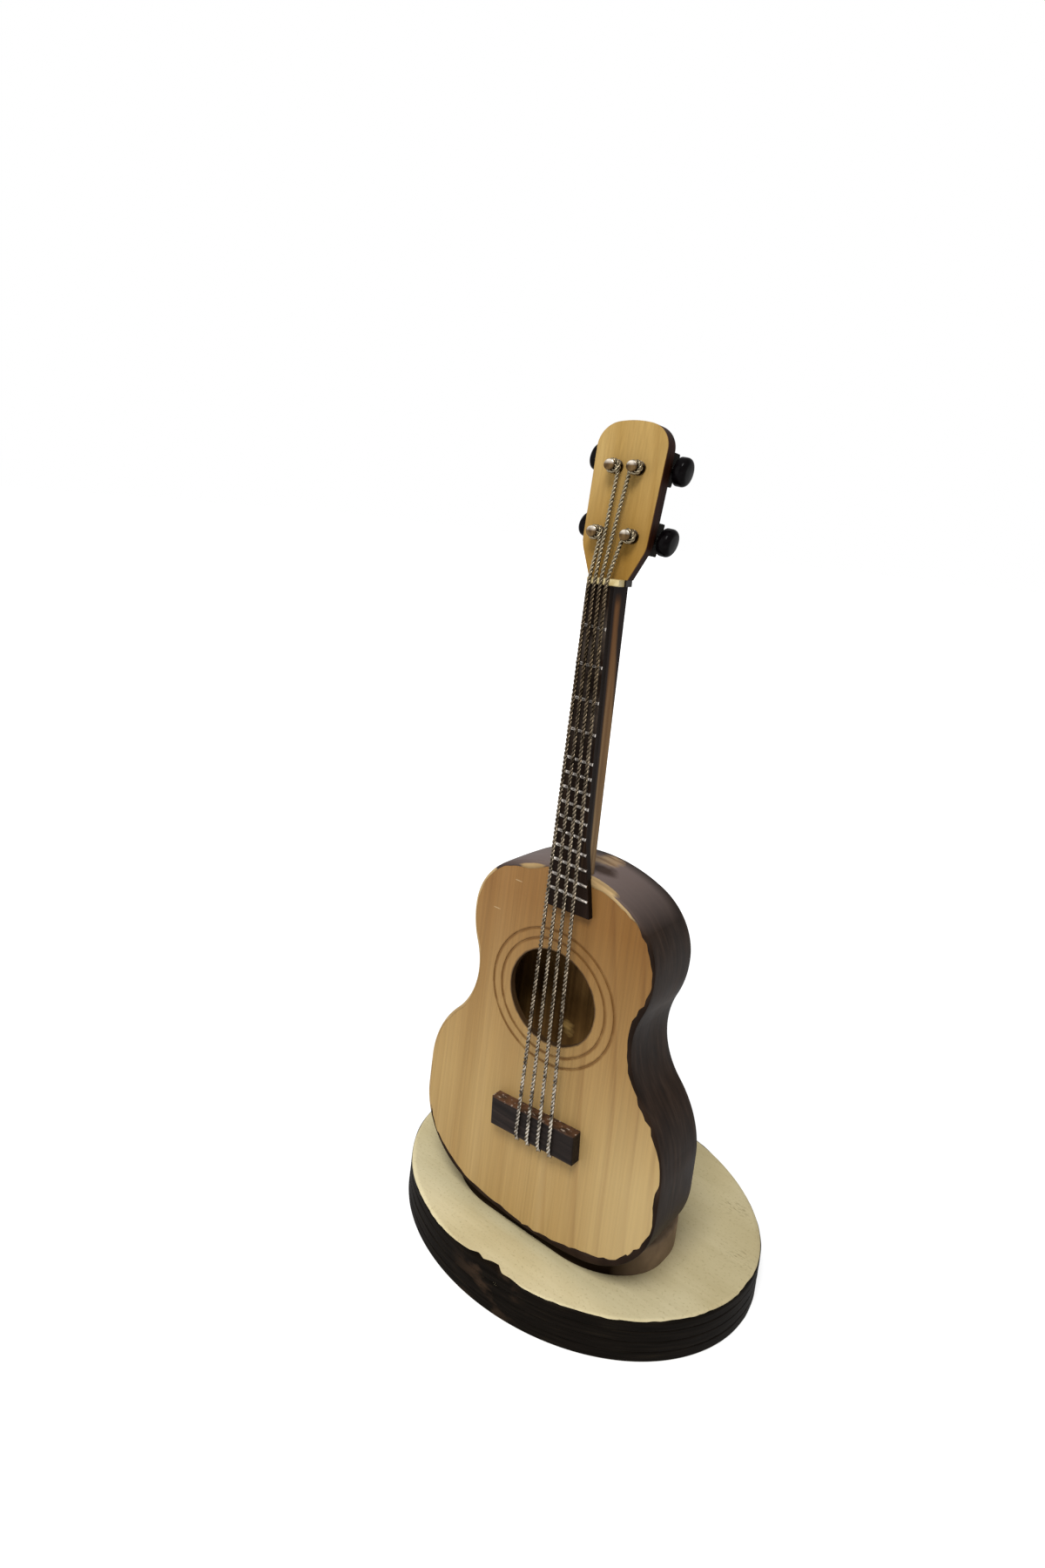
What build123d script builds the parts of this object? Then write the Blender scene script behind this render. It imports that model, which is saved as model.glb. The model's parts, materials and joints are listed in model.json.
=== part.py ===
from build123d import *
import os
from math import cos, radians, sin, sqrt

# A miniature acoustic guitar for display, fixed upright on a round wooden stand.
# Sizes are millimetres and degrees. The origin is the centre of the stand's underside,
# +Z is up and the guitar faces -Y. The guitar's own sketches use flat frames whose x runs
# across to the right, y runs up along the guitar and z comes out of the face.

# Stand
BASE_DIAMETER = 120.0
BASE_THICKNESS = 13.5
BASE_TOP_ROUND = 1.4
BASE_FOOT_ROUND = 0.6
PLY_LAYERS = 4
PLY_GROOVE_WIDTH = 0.5
PLY_GROOVE_DEPTH = 0.35
CRADLE_WIDTH = 75.4
CRADLE_DEPTH = 52.0
CRADLE_HEIGHT = 9.0
CRADLE_CORNER_RADIUS = 24.0
CRADLE_TOP_ROUND = 1.0
CRADLE_SETBACK = 3.2
SADDLE_FLOOR = 4.0
SCREW_SPACING = 22.0
SCREW_DIAMETER = 3.4
SCREW_HEAD_DIAMETER = 6.8
SCREW_HEAD_HEIGHT = 1.9
SCREW_HEAD_RECESS = 0.6
SCREW_HOLE_CLEARANCE = 0.2
SCREW_GRIP = 8.0
SCREW_TIP_LENGTH = 2.5
SCREW_CROSS_LENGTH = 3.6
SCREW_CROSS_WIDTH = 0.8
SCREW_CROSS_DEPTH = 1.0

# Place of the guitar on the stand
GUITAR_SIDE_SHIFT = 1.6
FACE_FORWARD = 40.5

# Body outline, from the bottom to the top
BOTTOM_RADIUS = 110.0
LOWER_BOUT_WIDTH = 85.0
LOWER_CORNER_RADIUS = 27.0
LOWER_SIDE_STRAIGHT = 10.0
LOWER_FLANK_RADIUS = 32.0
WAIST_RADIUS = 25.0
WAIST_INSET = 4.1
UPPER_FLANK_RADIUS = 30.8
UPPER_BOUT_WIDTH = 63.8
UPPER_SIDE_STRAIGHT = 0.6
SHOULDER_RADIUS = 21.0
TOP_RADIUS = 46.0

# Body walls and blocks
BODY_DEPTH = 24.0
SOUNDBOARD_THICKNESS = 2.2
BACK_THICKNESS = 2.0
RIB_THICKNESS = 2.4
TAIL_BLOCK_WIDTH = 40.0
TAIL_BLOCK_HEIGHT = 11.0
NECK_BLOCK_WIDTH = 26.0
NECK_BLOCK_HEIGHT = 14.0
SOUND_HOLE_DIAMETER = 30.2
SOUND_HOLE_ABOVE_WAIST = 2.4
RING_INNER_DIAMETER = 37.2
RING_OUTER_DIAMETER = 43.4
RING_LINE_WIDTH = 0.7
RING_LINE_DEPTH = 0.3

# Neck, fretboard and nut
NECK_SIDE_SHIFT = 0.64
NECK_LEAN = 1.14
NECK_WIDTH_AT_NUT = 11.2
NECK_SHIFT_AT_NUT = 1.0
NECK_WIDTH_AT_BODY = 12.4
NECK_DEPTH_AT_NUT = 5.4
NECK_DEPTH_AT_BODY = 6.2
NECK_SIDE_DEPTH = 3.6
TENON_WIDTH = 9.0
TENON_THICKNESS = 3.0
TENON_LENGTH = 10.0
FRETBOARD_LENGTH = 101.0
FRETBOARD_OVERLAP = 12.5
FRETBOARD_WIDTH_AT_NUT = 7.9
FRETBOARD_WIDTH_AT_END = 11.7
FRETBOARD_FLARE = 3.5
FRETBOARD_FLARE_START = 12.0
FRETBOARD_THICKNESS = 2.3
WIDE_FRETS = 5
NARROW_FRETS = 9
FIRST_FRET_SPACE = 12.7
WIDE_FRET_RATIO = 0.915
NARROW_FRET_SPACE = 4.65
FRET_WIDTH = 1.0
FRET_HEIGHT = 0.6
FRET_SLANT = 4.0
NUT_LENGTH = 2.0
NUT_WIDTH = 10.5
NUT_SIDE_SHIFT = 1.9
NUT_ABOVE_BOARD = 1.0
NUT_SLOT_DEPTH = 0.35
NUT_EDGE_ROUND = 0.4

# Headstock
HEAD_LENGTH = 47.0
HEAD_THICKNESS = 5.0
HEAD_TILT = 4.5
HEAD_SKEW = 2.04
HEAD_SIDE_SHIFT = 1.45
HEAD_WIDTH_AT_NUT = 12.6
HEAD_SHOULDER_WIDTH = 20.8
HEAD_SHOULDER_RISE = 9.5
HEAD_SHOULDER_ROUND = 10.0
HEAD_TOP_WIDTH = 22.9
HEAD_CROWN = 2.5
HEAD_TOP_ROUND = 7.5
HEAD_BACK_BEVEL = 3.0

# Bridge
BRIDGE_WIDTH = 30.0
BRIDGE_HEIGHT = 9.4
BRIDGE_THICKNESS = 4.6
BRIDGE_BELOW_WAIST = 40.3
BRIDGE_SIDE_SHIFT = 1.2
BRIDGE_TILT = 4.0
BRIDGE_EDGE_ROUND = 0.5

# Strings
STRING_COUNT = 4
STRING_DIAMETER = 1.3
STRING_GAP = 0.15
STRING_TAIL = 1.5
STRING_SPACE_AT_BRIDGE = 4.0
STRING_SHIFT_AT_BRIDGE = 1.2
STRING_SPACE_AT_NUT = 1.9
STRING_SHIFT_AT_NUT = 0.35
STRING_BRIDGE_BEND = 1.4
STRING_NUT_BEND = 6.0
WINDING_TURNS = 2

# Tuners and string posts
LOWER_TUNER_UP = 14.3
UPPER_TUNER_UP = 35.2
TUNER_ROW_TILT = 6.0
LOWER_POST_UP = 13.0
UPPER_POST_UP = 33.0
LOWER_POST_INSET = 5.1
UPPER_POST_INSET = 7.5
POST_DIAMETER = 2.2
POST_GRIP = 4.5
POST_FLANGE_DIAMETER = 4.4
POST_FLANGE_THICKNESS = 0.6
POST_CAP_DIAMETER = 3.4
POST_CAP_THICKNESS = 0.8
POST_CAP_ROUND = 0.3
WINDING_CLEARANCE = 0.5
SHAFT_DIAMETER = 2.4
SHAFT_GRIP = 5.5
SHAFT_SOCKET = 2.6
SHAFT_CLEARANCE = 0.05
SHAFT_END_CLEARANCE = 0.3
TUNER_BLOCK_WIDTH = 7.0
TUNER_BLOCK_HEIGHT = 10.0
TUNER_BLOCK_THICKNESS = 4.6
TUNER_BLOCK_INSET = 0.8
TUNER_BLOCK_ROUND = 0.6
TUNER_GAP = 0.3
KNOB_HUB_DIAMETER = 4.4
KNOB_HUB_LENGTH = 0.6
KNOB_HEIGHT = 8.8
KNOB_BREADTH = 7.6
KNOB_LENGTH = 3.8
KNOB_OUTER_ROUND = 1.7
KNOB_INNER_ROUND = 0.8
KNOB_REST_TURN = {"upper_left": 15, "upper_right": 0, "lower_left": 50, "lower_right": -25}

# How far a cutting tool runs past what it cuts
CUT_PAST = 1.0

# Heights of the outline's arc centres, each found from the tangency with the arc below it
LOWER_HALF = LOWER_BOUT_WIDTH / 2
UPPER_HALF = UPPER_BOUT_WIDTH / 2
WAIST_ACROSS = UPPER_HALF - WAIST_INSET + WAIST_RADIUS
CORNER_ACROSS = LOWER_HALF - LOWER_CORNER_RADIUS
FLANK_ACROSS = LOWER_HALF - LOWER_FLANK_RADIUS
UPPER_ACROSS = UPPER_HALF - UPPER_FLANK_RADIUS
SHOULDER_ACROSS = UPPER_HALF - SHOULDER_RADIUS


def rise_between(centre_distance, sideways):
    """Height between two arc centres, from their distance and how far one is to the side."""
    return sqrt(centre_distance**2 - sideways**2)


CORNER_UP = BOTTOM_RADIUS - rise_between(BOTTOM_RADIUS - LOWER_CORNER_RADIUS, CORNER_ACROSS)
FLANK_UP = CORNER_UP + LOWER_SIDE_STRAIGHT
WAIST_UP = FLANK_UP + rise_between(LOWER_FLANK_RADIUS + WAIST_RADIUS, WAIST_ACROSS - FLANK_ACROSS)
UPPER_UP = WAIST_UP + rise_between(UPPER_FLANK_RADIUS + WAIST_RADIUS, WAIST_ACROSS - UPPER_ACROSS)
SHOULDER_UP = UPPER_UP + UPPER_SIDE_STRAIGHT
TOP_UP = SHOULDER_UP - rise_between(TOP_RADIUS - SHOULDER_RADIUS, SHOULDER_ACROSS)
BODY_LENGTH = TOP_UP + TOP_RADIUS

# Sizes that follow from the driving ones
GUITAR_BOTTOM = BASE_THICKNESS + SADDLE_FLOOR
RIB_DEPTH = BODY_DEPTH - SOUNDBOARD_THICKNESS - BACK_THICKNESS
SOUND_HOLE_UP = WAIST_UP + SOUND_HOLE_ABOVE_WAIST
BOARD_START = -FRETBOARD_OVERLAP
NUT_START = FRETBOARD_LENGTH - FRETBOARD_OVERLAP
HEAD_START = NUT_START + NUT_LENGTH
NUT_HEIGHT = FRETBOARD_THICKNESS + NUT_ABOVE_BOARD
STRING_RADIUS = STRING_DIAMETER / 2
POST_RADIUS = POST_DIAMETER / 2
WINDING_LENGTH = WINDING_TURNS * STRING_DIAMETER
WINDING_START = POST_FLANGE_THICKNESS + WINDING_CLEARANCE
WINDING_MIDDLE = WINDING_START + WINDING_LENGTH / 2
POST_HEIGHT = WINDING_START + WINDING_LENGTH + WINDING_CLEARANCE + POST_CAP_THICKNESS
TUNER_UP = {"upper": UPPER_TUNER_UP, "lower": LOWER_TUNER_UP}
POST_UP = {"upper": UPPER_POST_UP, "lower": LOWER_POST_UP}
POST_INSET = {"upper": UPPER_POST_INSET, "lower": LOWER_POST_INSET}
SIDE_SIGN = {"left": -1, "right": 1}
TUNERS = [f"{row}_{side}" for row in TUNER_UP for side in SIDE_SIGN]
STRING_POSTS = ["lower_left", "upper_left", "upper_right", "lower_right"]

# Frames: soundboard face, bridge, top of the neck, face of the head (a little askew on the neck)
FACE = Plane(origin=(GUITAR_SIDE_SHIFT, -FACE_FORWARD, GUITAR_BOTTOM), x_dir=(1, 0, 0), z_dir=(0, -1, 0))
BRIDGE = Plane(
    origin=FACE.from_local_coords((BRIDGE_SIDE_SHIFT, WAIST_UP - BRIDGE_BELOW_WAIST, 0)),
    x_dir=(cos(radians(BRIDGE_TILT)), 0, sin(radians(BRIDGE_TILT))),
    z_dir=FACE.z_dir,
)
NECK = Plane(
    origin=FACE.from_local_coords((NECK_SIDE_SHIFT, BODY_LENGTH, 0)),
    x_dir=(cos(radians(NECK_LEAN)), 0, sin(radians(NECK_LEAN))),
    z_dir=FACE.z_dir,
)
HEAD_ACROSS = NECK.x_dir * cos(radians(HEAD_SKEW)) - NECK.y_dir * sin(radians(HEAD_SKEW))
HEAD_UPWARD = NECK.y_dir * cos(radians(HEAD_SKEW)) + NECK.x_dir * sin(radians(HEAD_SKEW))
HEAD = Plane(
    origin=NECK.from_local_coords((HEAD_SIDE_SHIFT, HEAD_START, 0)),
    x_dir=HEAD_ACROSS,
    z_dir=NECK.z_dir * cos(radians(HEAD_TILT)) + HEAD_UPWARD * sin(radians(HEAD_TILT)),
)


# Drawing helpers
def toward(start, goal, distance):
    """Point at a distance from start, in the direction of goal."""
    return start + (goal - start).normalized() * distance


def arc_about(centre, start, end):
    """Arc from start to end about a centre, the short way round."""
    middle = ((start - centre).normalized() + (end - centre).normalized()).normalized()
    return ThreePointArc(start, centre + middle * (start - centre).length, end)


def body_outline(inset=0.0):
    """Face inside the guitar's outline, drawn inwards by inset: tangent arcs and short straight sides."""
    bottom = Vector(0, BOTTOM_RADIUS)
    corner = Vector(CORNER_ACROSS, CORNER_UP)
    flank = Vector(FLANK_ACROSS, FLANK_UP)
    waist = Vector(WAIST_ACROSS, WAIST_UP)
    upper = Vector(UPPER_ACROSS, UPPER_UP)
    shoulder = Vector(SHOULDER_ACROSS, SHOULDER_UP)
    top = Vector(0, TOP_UP)
    bottom_end = toward(bottom, corner, BOTTOM_RADIUS - inset)
    side_start = Vector(LOWER_HALF - inset, CORNER_UP)
    side_end = Vector(LOWER_HALF - inset, FLANK_UP)
    waist_start = toward(flank, waist, LOWER_FLANK_RADIUS - inset)
    waist_end = toward(upper, waist, UPPER_FLANK_RADIUS - inset)
    upper_start = Vector(UPPER_HALF - inset, UPPER_UP)
    upper_end = Vector(UPPER_HALF - inset, SHOULDER_UP)
    top_start = toward(top, shoulder, TOP_RADIUS - inset)
    right = [
        arc_about(bottom, Vector(0, inset), bottom_end),
        arc_about(corner, bottom_end, side_start),
        Line(side_start, side_end),
        arc_about(flank, side_end, waist_start),
        arc_about(waist, waist_start, waist_end),
        arc_about(upper, waist_end, upper_start),
        Line(upper_start, upper_end),
        arc_about(shoulder, upper_end, top_start),
        arc_about(top, top_start, Vector(0, BODY_LENGTH - inset)),
    ]
    left = [mirror(edge, Plane.YZ) for edge in right]
    return make_face(right + left)


def rod(radius, start, end):
    """Cylinder on the z axis between two heights."""
    return Pos(0, 0, start) * Cylinder(radius, end - start, align=(Align.CENTER, Align.CENTER, Align.MIN))


def taper(low_radius, high_radius, start, end):
    """Cone on the z axis between two heights."""
    cone = Cone(low_radius, high_radius, end - start, align=(Align.CENTER, Align.CENTER, Align.MIN))
    return Pos(0, 0, start) * cone


def body_block(inset, low, high, width):
    """Solid between the soundboard and the back, inside the inset outline and between two heights."""
    window = Pos(0, low) * Rectangle(width, high - low, align=(Align.CENTER, Align.MIN))
    return extrude(FACE.offset(-SOUNDBOARD_THICKNESS) * (body_outline(inset) & window), amount=-RIB_DEPTH)


# Stand
def screw_places():
    """Places of the stand screws on the base's underside."""
    back = BODY_DEPTH / 2 - FACE_FORWARD
    return [Pos(GUITAR_SIDE_SHIFT + sign * SCREW_SPACING / 2, back, 0) for sign in SIDE_SIGN.values()]


def screw_tip_height():
    """Height of a screw's tip: its grip above the tail block's underside."""
    return GUITAR_BOTTOM + RIB_THICKNESS + SCREW_GRIP


def countersunk_shape(clearance):
    """Countersunk head and shank on the z axis, the shank wider by a clearance."""
    head_top = SCREW_HEAD_RECESS + SCREW_HEAD_HEIGHT
    shank_radius = SCREW_DIAMETER / 2 + clearance
    mouth = rod(SCREW_HEAD_DIAMETER / 2, 0, SCREW_HEAD_RECESS)
    head = taper(SCREW_HEAD_DIAMETER / 2, shank_radius, SCREW_HEAD_RECESS, head_top)
    shank = rod(shank_radius, head_top, screw_tip_height() - SCREW_TIP_LENGTH)
    return mouth, head, shank


def screw_clearance_hole():
    """Tool for the hole of one screw in what it passes through."""
    mouth, head, shank = countersunk_shape(SCREW_HOLE_CLEARANCE)
    return mouth + head + shank


def make_screw():
    """One countersunk screw with a pointed tip and a cross recess."""
    head, shank = countersunk_shape(0)[1:]
    tip = taper(SCREW_DIAMETER / 2, 0, screw_tip_height() - SCREW_TIP_LENGTH, screw_tip_height())
    screw = head + shank + tip
    recess_middle = SCREW_HEAD_RECESS + SCREW_CROSS_DEPTH / 2
    for length, width in ((SCREW_CROSS_LENGTH, SCREW_CROSS_WIDTH), (SCREW_CROSS_WIDTH, SCREW_CROSS_LENGTH)):
        screw -= Pos(0, 0, recess_middle) * Box(length, width, SCREW_CROSS_DEPTH)
    return screw


def make_stand_screws():
    """Both stand screws."""
    return Compound(children=[place * make_screw() for place in screw_places()])


def make_base_disc():
    """Round board with rounded rims, grooves between its layers and two screw holes."""
    disc = extrude(Circle(BASE_DIAMETER / 2), BASE_THICKNESS)
    rims = disc.edges().group_by(Axis.Z)
    disc = fillet(rims[-1], BASE_TOP_ROUND)
    disc = fillet(disc.edges().group_by(Axis.Z)[0], BASE_FOOT_ROUND)
    groove = Circle(BASE_DIAMETER / 2 + CUT_PAST) - Circle(BASE_DIAMETER / 2 - PLY_GROOVE_DEPTH)
    for layer in range(1, PLY_LAYERS):
        height = BASE_THICKNESS * layer / PLY_LAYERS
        disc -= Pos(0, 0, height - PLY_GROOVE_WIDTH / 2) * extrude(groove, PLY_GROOVE_WIDTH)
    for place in screw_places():
        disc -= place * screw_clearance_hole()
    return disc


def make_cradle_block():
    """Block with rounded corners, hollowed on top to the curve of the guitar's bottom."""
    middle_back = CRADLE_SETBACK + CRADLE_DEPTH / 2 - FACE_FORWARD
    plan = RectangleRounded(CRADLE_WIDTH, CRADLE_DEPTH, CRADLE_CORNER_RADIUS)
    block = extrude(Pos(0, middle_back, BASE_THICKNESS) * plan, CRADLE_HEIGHT)
    block = fillet(block.edges().group_by(Axis.Z)[-1], CRADLE_TOP_ROUND)
    block -= extrude(FACE * body_outline(), amount=-(CRADLE_SETBACK + CRADLE_DEPTH + CUT_PAST))
    for place in screw_places():
        block -= place * screw_clearance_hole()
    return block


# Body
def make_soundboard():
    """Top plate with the sound hole, two burnt ring lines and a hole for each string's tail."""
    hole_place = Pos(0, SOUND_HOLE_UP)
    plate = body_outline() - hole_place * Circle(SOUND_HOLE_DIAMETER / 2)
    board = extrude(FACE * plate, amount=-SOUNDBOARD_THICKNESS)
    for diameter in (RING_INNER_DIAMETER, RING_OUTER_DIAMETER):
        outer = Circle((diameter + RING_LINE_WIDTH) / 2)
        inner = Circle((diameter - RING_LINE_WIDTH) / 2)
        board -= extrude(FACE * (hole_place * (outer - inner)), amount=-RING_LINE_DEPTH)
    for number in range(STRING_COUNT):
        across, up = string_tail_place(number)
        drill = rod(STRING_RADIUS + STRING_GAP, -SOUNDBOARD_THICKNESS - CUT_PAST, CUT_PAST)
        board -= BRIDGE * Pos(across, up, 0) * drill
    return board


def make_rib(sign):
    """Bent side, right for sign 1 and left for -1, cut for the neck's tenon and the stand screws."""
    wall = body_outline() - body_outline(RIB_THICKNESS)
    inner_side = Align.MIN if sign > 0 else Align.MAX
    half = Rectangle(LOWER_BOUT_WIDTH, BODY_LENGTH, align=(inner_side, Align.MIN))
    rib = extrude(FACE.offset(-SOUNDBOARD_THICKNESS) * (wall & half), amount=-RIB_DEPTH)
    rib -= make_tenon()
    for place in screw_places():
        rib -= place * screw_clearance_hole()
    return rib


def make_back_plate():
    """Plain rear plate."""
    return extrude(FACE.offset(BACK_THICKNESS - BODY_DEPTH) * body_outline(), amount=-BACK_THICKNESS)


def make_tail_block():
    """Block inside the bottom of the body, drilled to hold the stand screws."""
    block = body_block(RIB_THICKNESS, 0, RIB_THICKNESS + TAIL_BLOCK_HEIGHT, TAIL_BLOCK_WIDTH)
    for place in screw_places():
        block -= place * make_screw()
    return block


def make_neck_block():
    """Block inside the top of the body with the mortise for the neck's tenon."""
    low = BODY_LENGTH - RIB_THICKNESS - NECK_BLOCK_HEIGHT
    return body_block(RIB_THICKNESS, low, BODY_LENGTH, NECK_BLOCK_WIDTH) - make_tenon()


# Neck
def board_half(up):
    """Half of the fretboard's width at a height above the body, without its flare."""
    share = (NUT_START - up) / FRETBOARD_LENGTH
    return (FRETBOARD_WIDTH_AT_NUT + share * (FRETBOARD_WIDTH_AT_END - FRETBOARD_WIDTH_AT_NUT)) / 2


def board_right(up):
    """Across of the fretboard's right side, which flares out low down."""
    below = (FRETBOARD_FLARE_START - up) / (FRETBOARD_FLARE_START - BOARD_START)
    return board_half(up) + FRETBOARD_FLARE * max(0, below)


def make_tenon():
    """Tongue of the neck that goes into the body just behind the soundboard."""
    length = TENON_LENGTH + CUT_PAST
    middle = (CUT_PAST - TENON_LENGTH) / 2
    depth = SOUNDBOARD_THICKNESS + TENON_THICKNESS / 2
    return NECK * Pos(0, middle, -depth) * Box(TENON_WIDTH, length, TENON_THICKNESS)


def neck_section(up, back_half, back_middle, depth):
    """Cross-section in the neck's own frame: front under the fretboard, sides sloping out, round back."""
    left = (back_middle - back_half, -NECK_SIDE_DEPTH)
    right = (back_middle + back_half, -NECK_SIDE_DEPTH)
    front = Polyline(left, (-board_half(up), 0), (board_half(up), 0), right)
    back = ThreePointArc(right, (back_middle, -depth), left)
    level = Plane(origin=(0, up, 0), x_dir=(1, 0, 0), z_dir=(0, -1, 0))
    return level * make_face(front.edges() + back.edges())


def make_neck_foot():
    """Short block under the nut, as wide as the foot of the head."""
    place = NECK * Pos(HEAD_SIDE_SHIFT, NUT_START, 0)
    upper_front = (Align.CENTER, Align.MIN, Align.MAX)
    return place * Box(HEAD_WIDTH_AT_NUT, NUT_LENGTH, NECK_SIDE_DEPTH, align=upper_front)


def make_neck():
    """Tapered stick from the head down to the body's top edge, with its tenon and the foot under the nut."""
    lower = neck_section(-NECK_BLOCK_HEIGHT, NECK_WIDTH_AT_BODY / 2, 0, NECK_DEPTH_AT_BODY)
    upper = neck_section(HEAD_START, NECK_WIDTH_AT_NUT / 2, NECK_SHIFT_AT_NUT, NECK_DEPTH_AT_NUT)
    body = extrude(FACE * body_outline(), amount=-BODY_DEPTH)
    return NECK * loft([lower, upper]) - body + make_neck_foot() + make_tenon()


def make_fretboard():
    """Dark strip on the neck and the top of the soundboard, flaring to the right over the body."""
    outline = Polyline(
        (-board_half(BOARD_START), BOARD_START),
        (board_right(BOARD_START), BOARD_START),
        (board_right(FRETBOARD_FLARE_START), FRETBOARD_FLARE_START),
        (board_right(NUT_START), NUT_START),
        (-board_half(NUT_START), NUT_START),
        close=True,
    )
    return extrude(NECK * make_face(outline.edges()), amount=FRETBOARD_THICKNESS)


def fret_heights():
    """Heights of the frets above the body's top: wide spaces that shrink, then narrow even ones."""
    spaces = [FIRST_FRET_SPACE * WIDE_FRET_RATIO**number for number in range(WIDE_FRETS)]
    spaces += [NARROW_FRET_SPACE] * NARROW_FRETS
    return [NUT_START - sum(spaces[: number + 1]) for number in range(len(spaces))]


def make_fret(up):
    """One fret: a wire with a flat underside, slanted a little, as long as the board is wide there."""
    crown = ThreePointArc((-FRET_WIDTH / 2, 0), (0, FRET_HEIGHT), (FRET_WIDTH / 2, 0))
    foot = Line((FRET_WIDTH / 2, 0), (-FRET_WIDTH / 2, 0))
    middle = (board_right(up) - board_half(up)) / 2
    slant = radians(FRET_SLANT)
    along = NECK.x_dir * cos(slant) - NECK.y_dir * sin(slant)
    across = NECK.y_dir * cos(slant) + NECK.x_dir * sin(slant)
    place = Plane(origin=NECK.from_local_coords((middle, up, FRETBOARD_THICKNESS)), x_dir=across, z_dir=along)
    return extrude(place * make_face([crown, foot]), amount=board_right(up) - middle, both=True)


def make_frets():
    """All the frets."""
    return Compound(children=[make_fret(up) for up in fret_heights()])


def make_nut():
    """Strip at the end of the fretboard, with a rounded top and a notch for each string."""
    place = NECK * Pos(NUT_SIDE_SHIFT, NUT_START + NUT_LENGTH / 2, NUT_HEIGHT / 2)
    strip = Box(NUT_WIDTH, NUT_LENGTH, NUT_HEIGHT)
    strip = fillet(strip.edges().filter_by(Axis.X).group_by(Axis.Z)[-1], NUT_EDGE_ROUND)
    nut = place * strip
    for number in range(STRING_COUNT):
        nut -= string_tube(number, STRING_RADIUS)
    return nut


# Headstock
def head_half_width(up):
    """Half of the head's width on its straight sides, at a height above the nut."""
    straight = HEAD_LENGTH - HEAD_CROWN - HEAD_SHOULDER_RISE
    share = (up - HEAD_SHOULDER_RISE) / straight
    return (HEAD_SHOULDER_WIDTH + share * (HEAD_TOP_WIDTH - HEAD_SHOULDER_WIDTH)) / 2


def head_outline():
    """Outline of the head: a foot as wide as the neck, sloping shoulders, straight sides, a crown."""
    side_top = HEAD_LENGTH - HEAD_CROWN
    lower = Polyline(
        (-HEAD_TOP_WIDTH / 2, side_top),
        (-HEAD_SHOULDER_WIDTH / 2, HEAD_SHOULDER_RISE),
        (-HEAD_WIDTH_AT_NUT / 2, 0),
        (-HEAD_WIDTH_AT_NUT / 2, -CUT_PAST),
        (HEAD_WIDTH_AT_NUT / 2, -CUT_PAST),
        (HEAD_WIDTH_AT_NUT / 2, 0),
        (HEAD_SHOULDER_WIDTH / 2, HEAD_SHOULDER_RISE),
        (HEAD_TOP_WIDTH / 2, side_top),
    )
    crown = ThreePointArc((HEAD_TOP_WIDTH / 2, side_top), (0, HEAD_LENGTH), (-HEAD_TOP_WIDTH / 2, side_top))
    outline = make_face(lower.edges() + crown.edges())
    shoulders = outline.vertices().filter_by_position(Axis.Y, CUT_PAST, side_top - CUT_PAST)
    outline = fillet(shoulders, HEAD_SHOULDER_ROUND)
    return fillet(outline.vertices().filter_by(lambda point: point.Y > side_top - CUT_PAST), HEAD_TOP_ROUND)


def tuner_row(row):
    """Frame behind the head for one row of tuners: x runs along both shafts, a little off level."""
    behind = HEAD_THICKNESS + TUNER_BLOCK_THICKNESS / 2
    tilt = radians(TUNER_ROW_TILT)
    return Plane(
        origin=HEAD.from_local_coords((0, TUNER_UP[row], -behind)),
        x_dir=HEAD.x_dir * cos(tilt) - HEAD.y_dir * sin(tilt),
        z_dir=HEAD.z_dir,
    )


def tuner_frame(tuner):
    """Frame in line with the head's edge for one tuner: z points out along the shaft."""
    row, side = tuner.split("_")
    sign = SIDE_SIGN[side]
    frame = tuner_row(row)
    edge = frame.from_local_coords((sign * head_half_width(TUNER_UP[row]), 0, 0))
    return Plane(origin=edge, x_dir=frame.y_dir, z_dir=frame.x_dir * sign)


def post_place(post):
    """Across and up of one string post on the head's face."""
    row, side = post.split("_")
    up = POST_UP[row]
    return SIDE_SIGN[side] * (head_half_width(up) - POST_INSET[row]), up


def shoulder_bevel(sign):
    """Tool that bevels the back of one shoulder, so that the head runs into the neck's round back."""
    foot = Vector(sign * HEAD_WIDTH_AT_NUT / 2, 0, -NECK_SIDE_DEPTH)
    shoulder = Vector(sign * HEAD_SHOULDER_WIDTH / 2, HEAD_SHOULDER_RISE, -NECK_SIDE_DEPTH)
    along = (shoulder - foot).normalized()
    outward = Vector(sign * along.Y, -sign * along.X, 0)
    slope = outward * (HEAD_THICKNESS - NECK_SIDE_DEPTH) + Vector(0, 0, -HEAD_BACK_BEVEL)
    reach = 2 * HEAD_LENGTH
    tool = Box(reach, reach, reach, align=(Align.CENTER, Align.CENTER, Align.MIN))
    return HEAD * Plane(origin=foot, x_dir=along, z_dir=slope).location * tool


def make_headstock():
    """Leaning head, cut level where it meets the neck, with bevelled shoulders and a hole for each post."""
    head = extrude(HEAD * head_outline(), amount=-HEAD_THICKNESS)
    joint = Plane(origin=HEAD.origin, x_dir=NECK.x_dir, z_dir=NECK.y_dir)
    head = split(head, bisect_by=joint, keep=Keep.TOP)
    for sign in SIDE_SIGN.values():
        head -= shoulder_bevel(sign)
    for post in TUNERS:
        across, up = post_place(post)
        head -= HEAD * Pos(across, up, 0) * rod(POST_RADIUS, -POST_GRIP, CUT_PAST)
    return head


# Bridge
def make_bridge():
    """Plain block glued across the soundboard, with its front edges softened."""
    block = Pos(0, 0, BRIDGE_THICKNESS / 2) * Box(BRIDGE_WIDTH, BRIDGE_HEIGHT, BRIDGE_THICKNESS)
    block = fillet(block.edges().group_by(Axis.Z)[-1], BRIDGE_EDGE_ROUND)
    return BRIDGE * block


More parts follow.
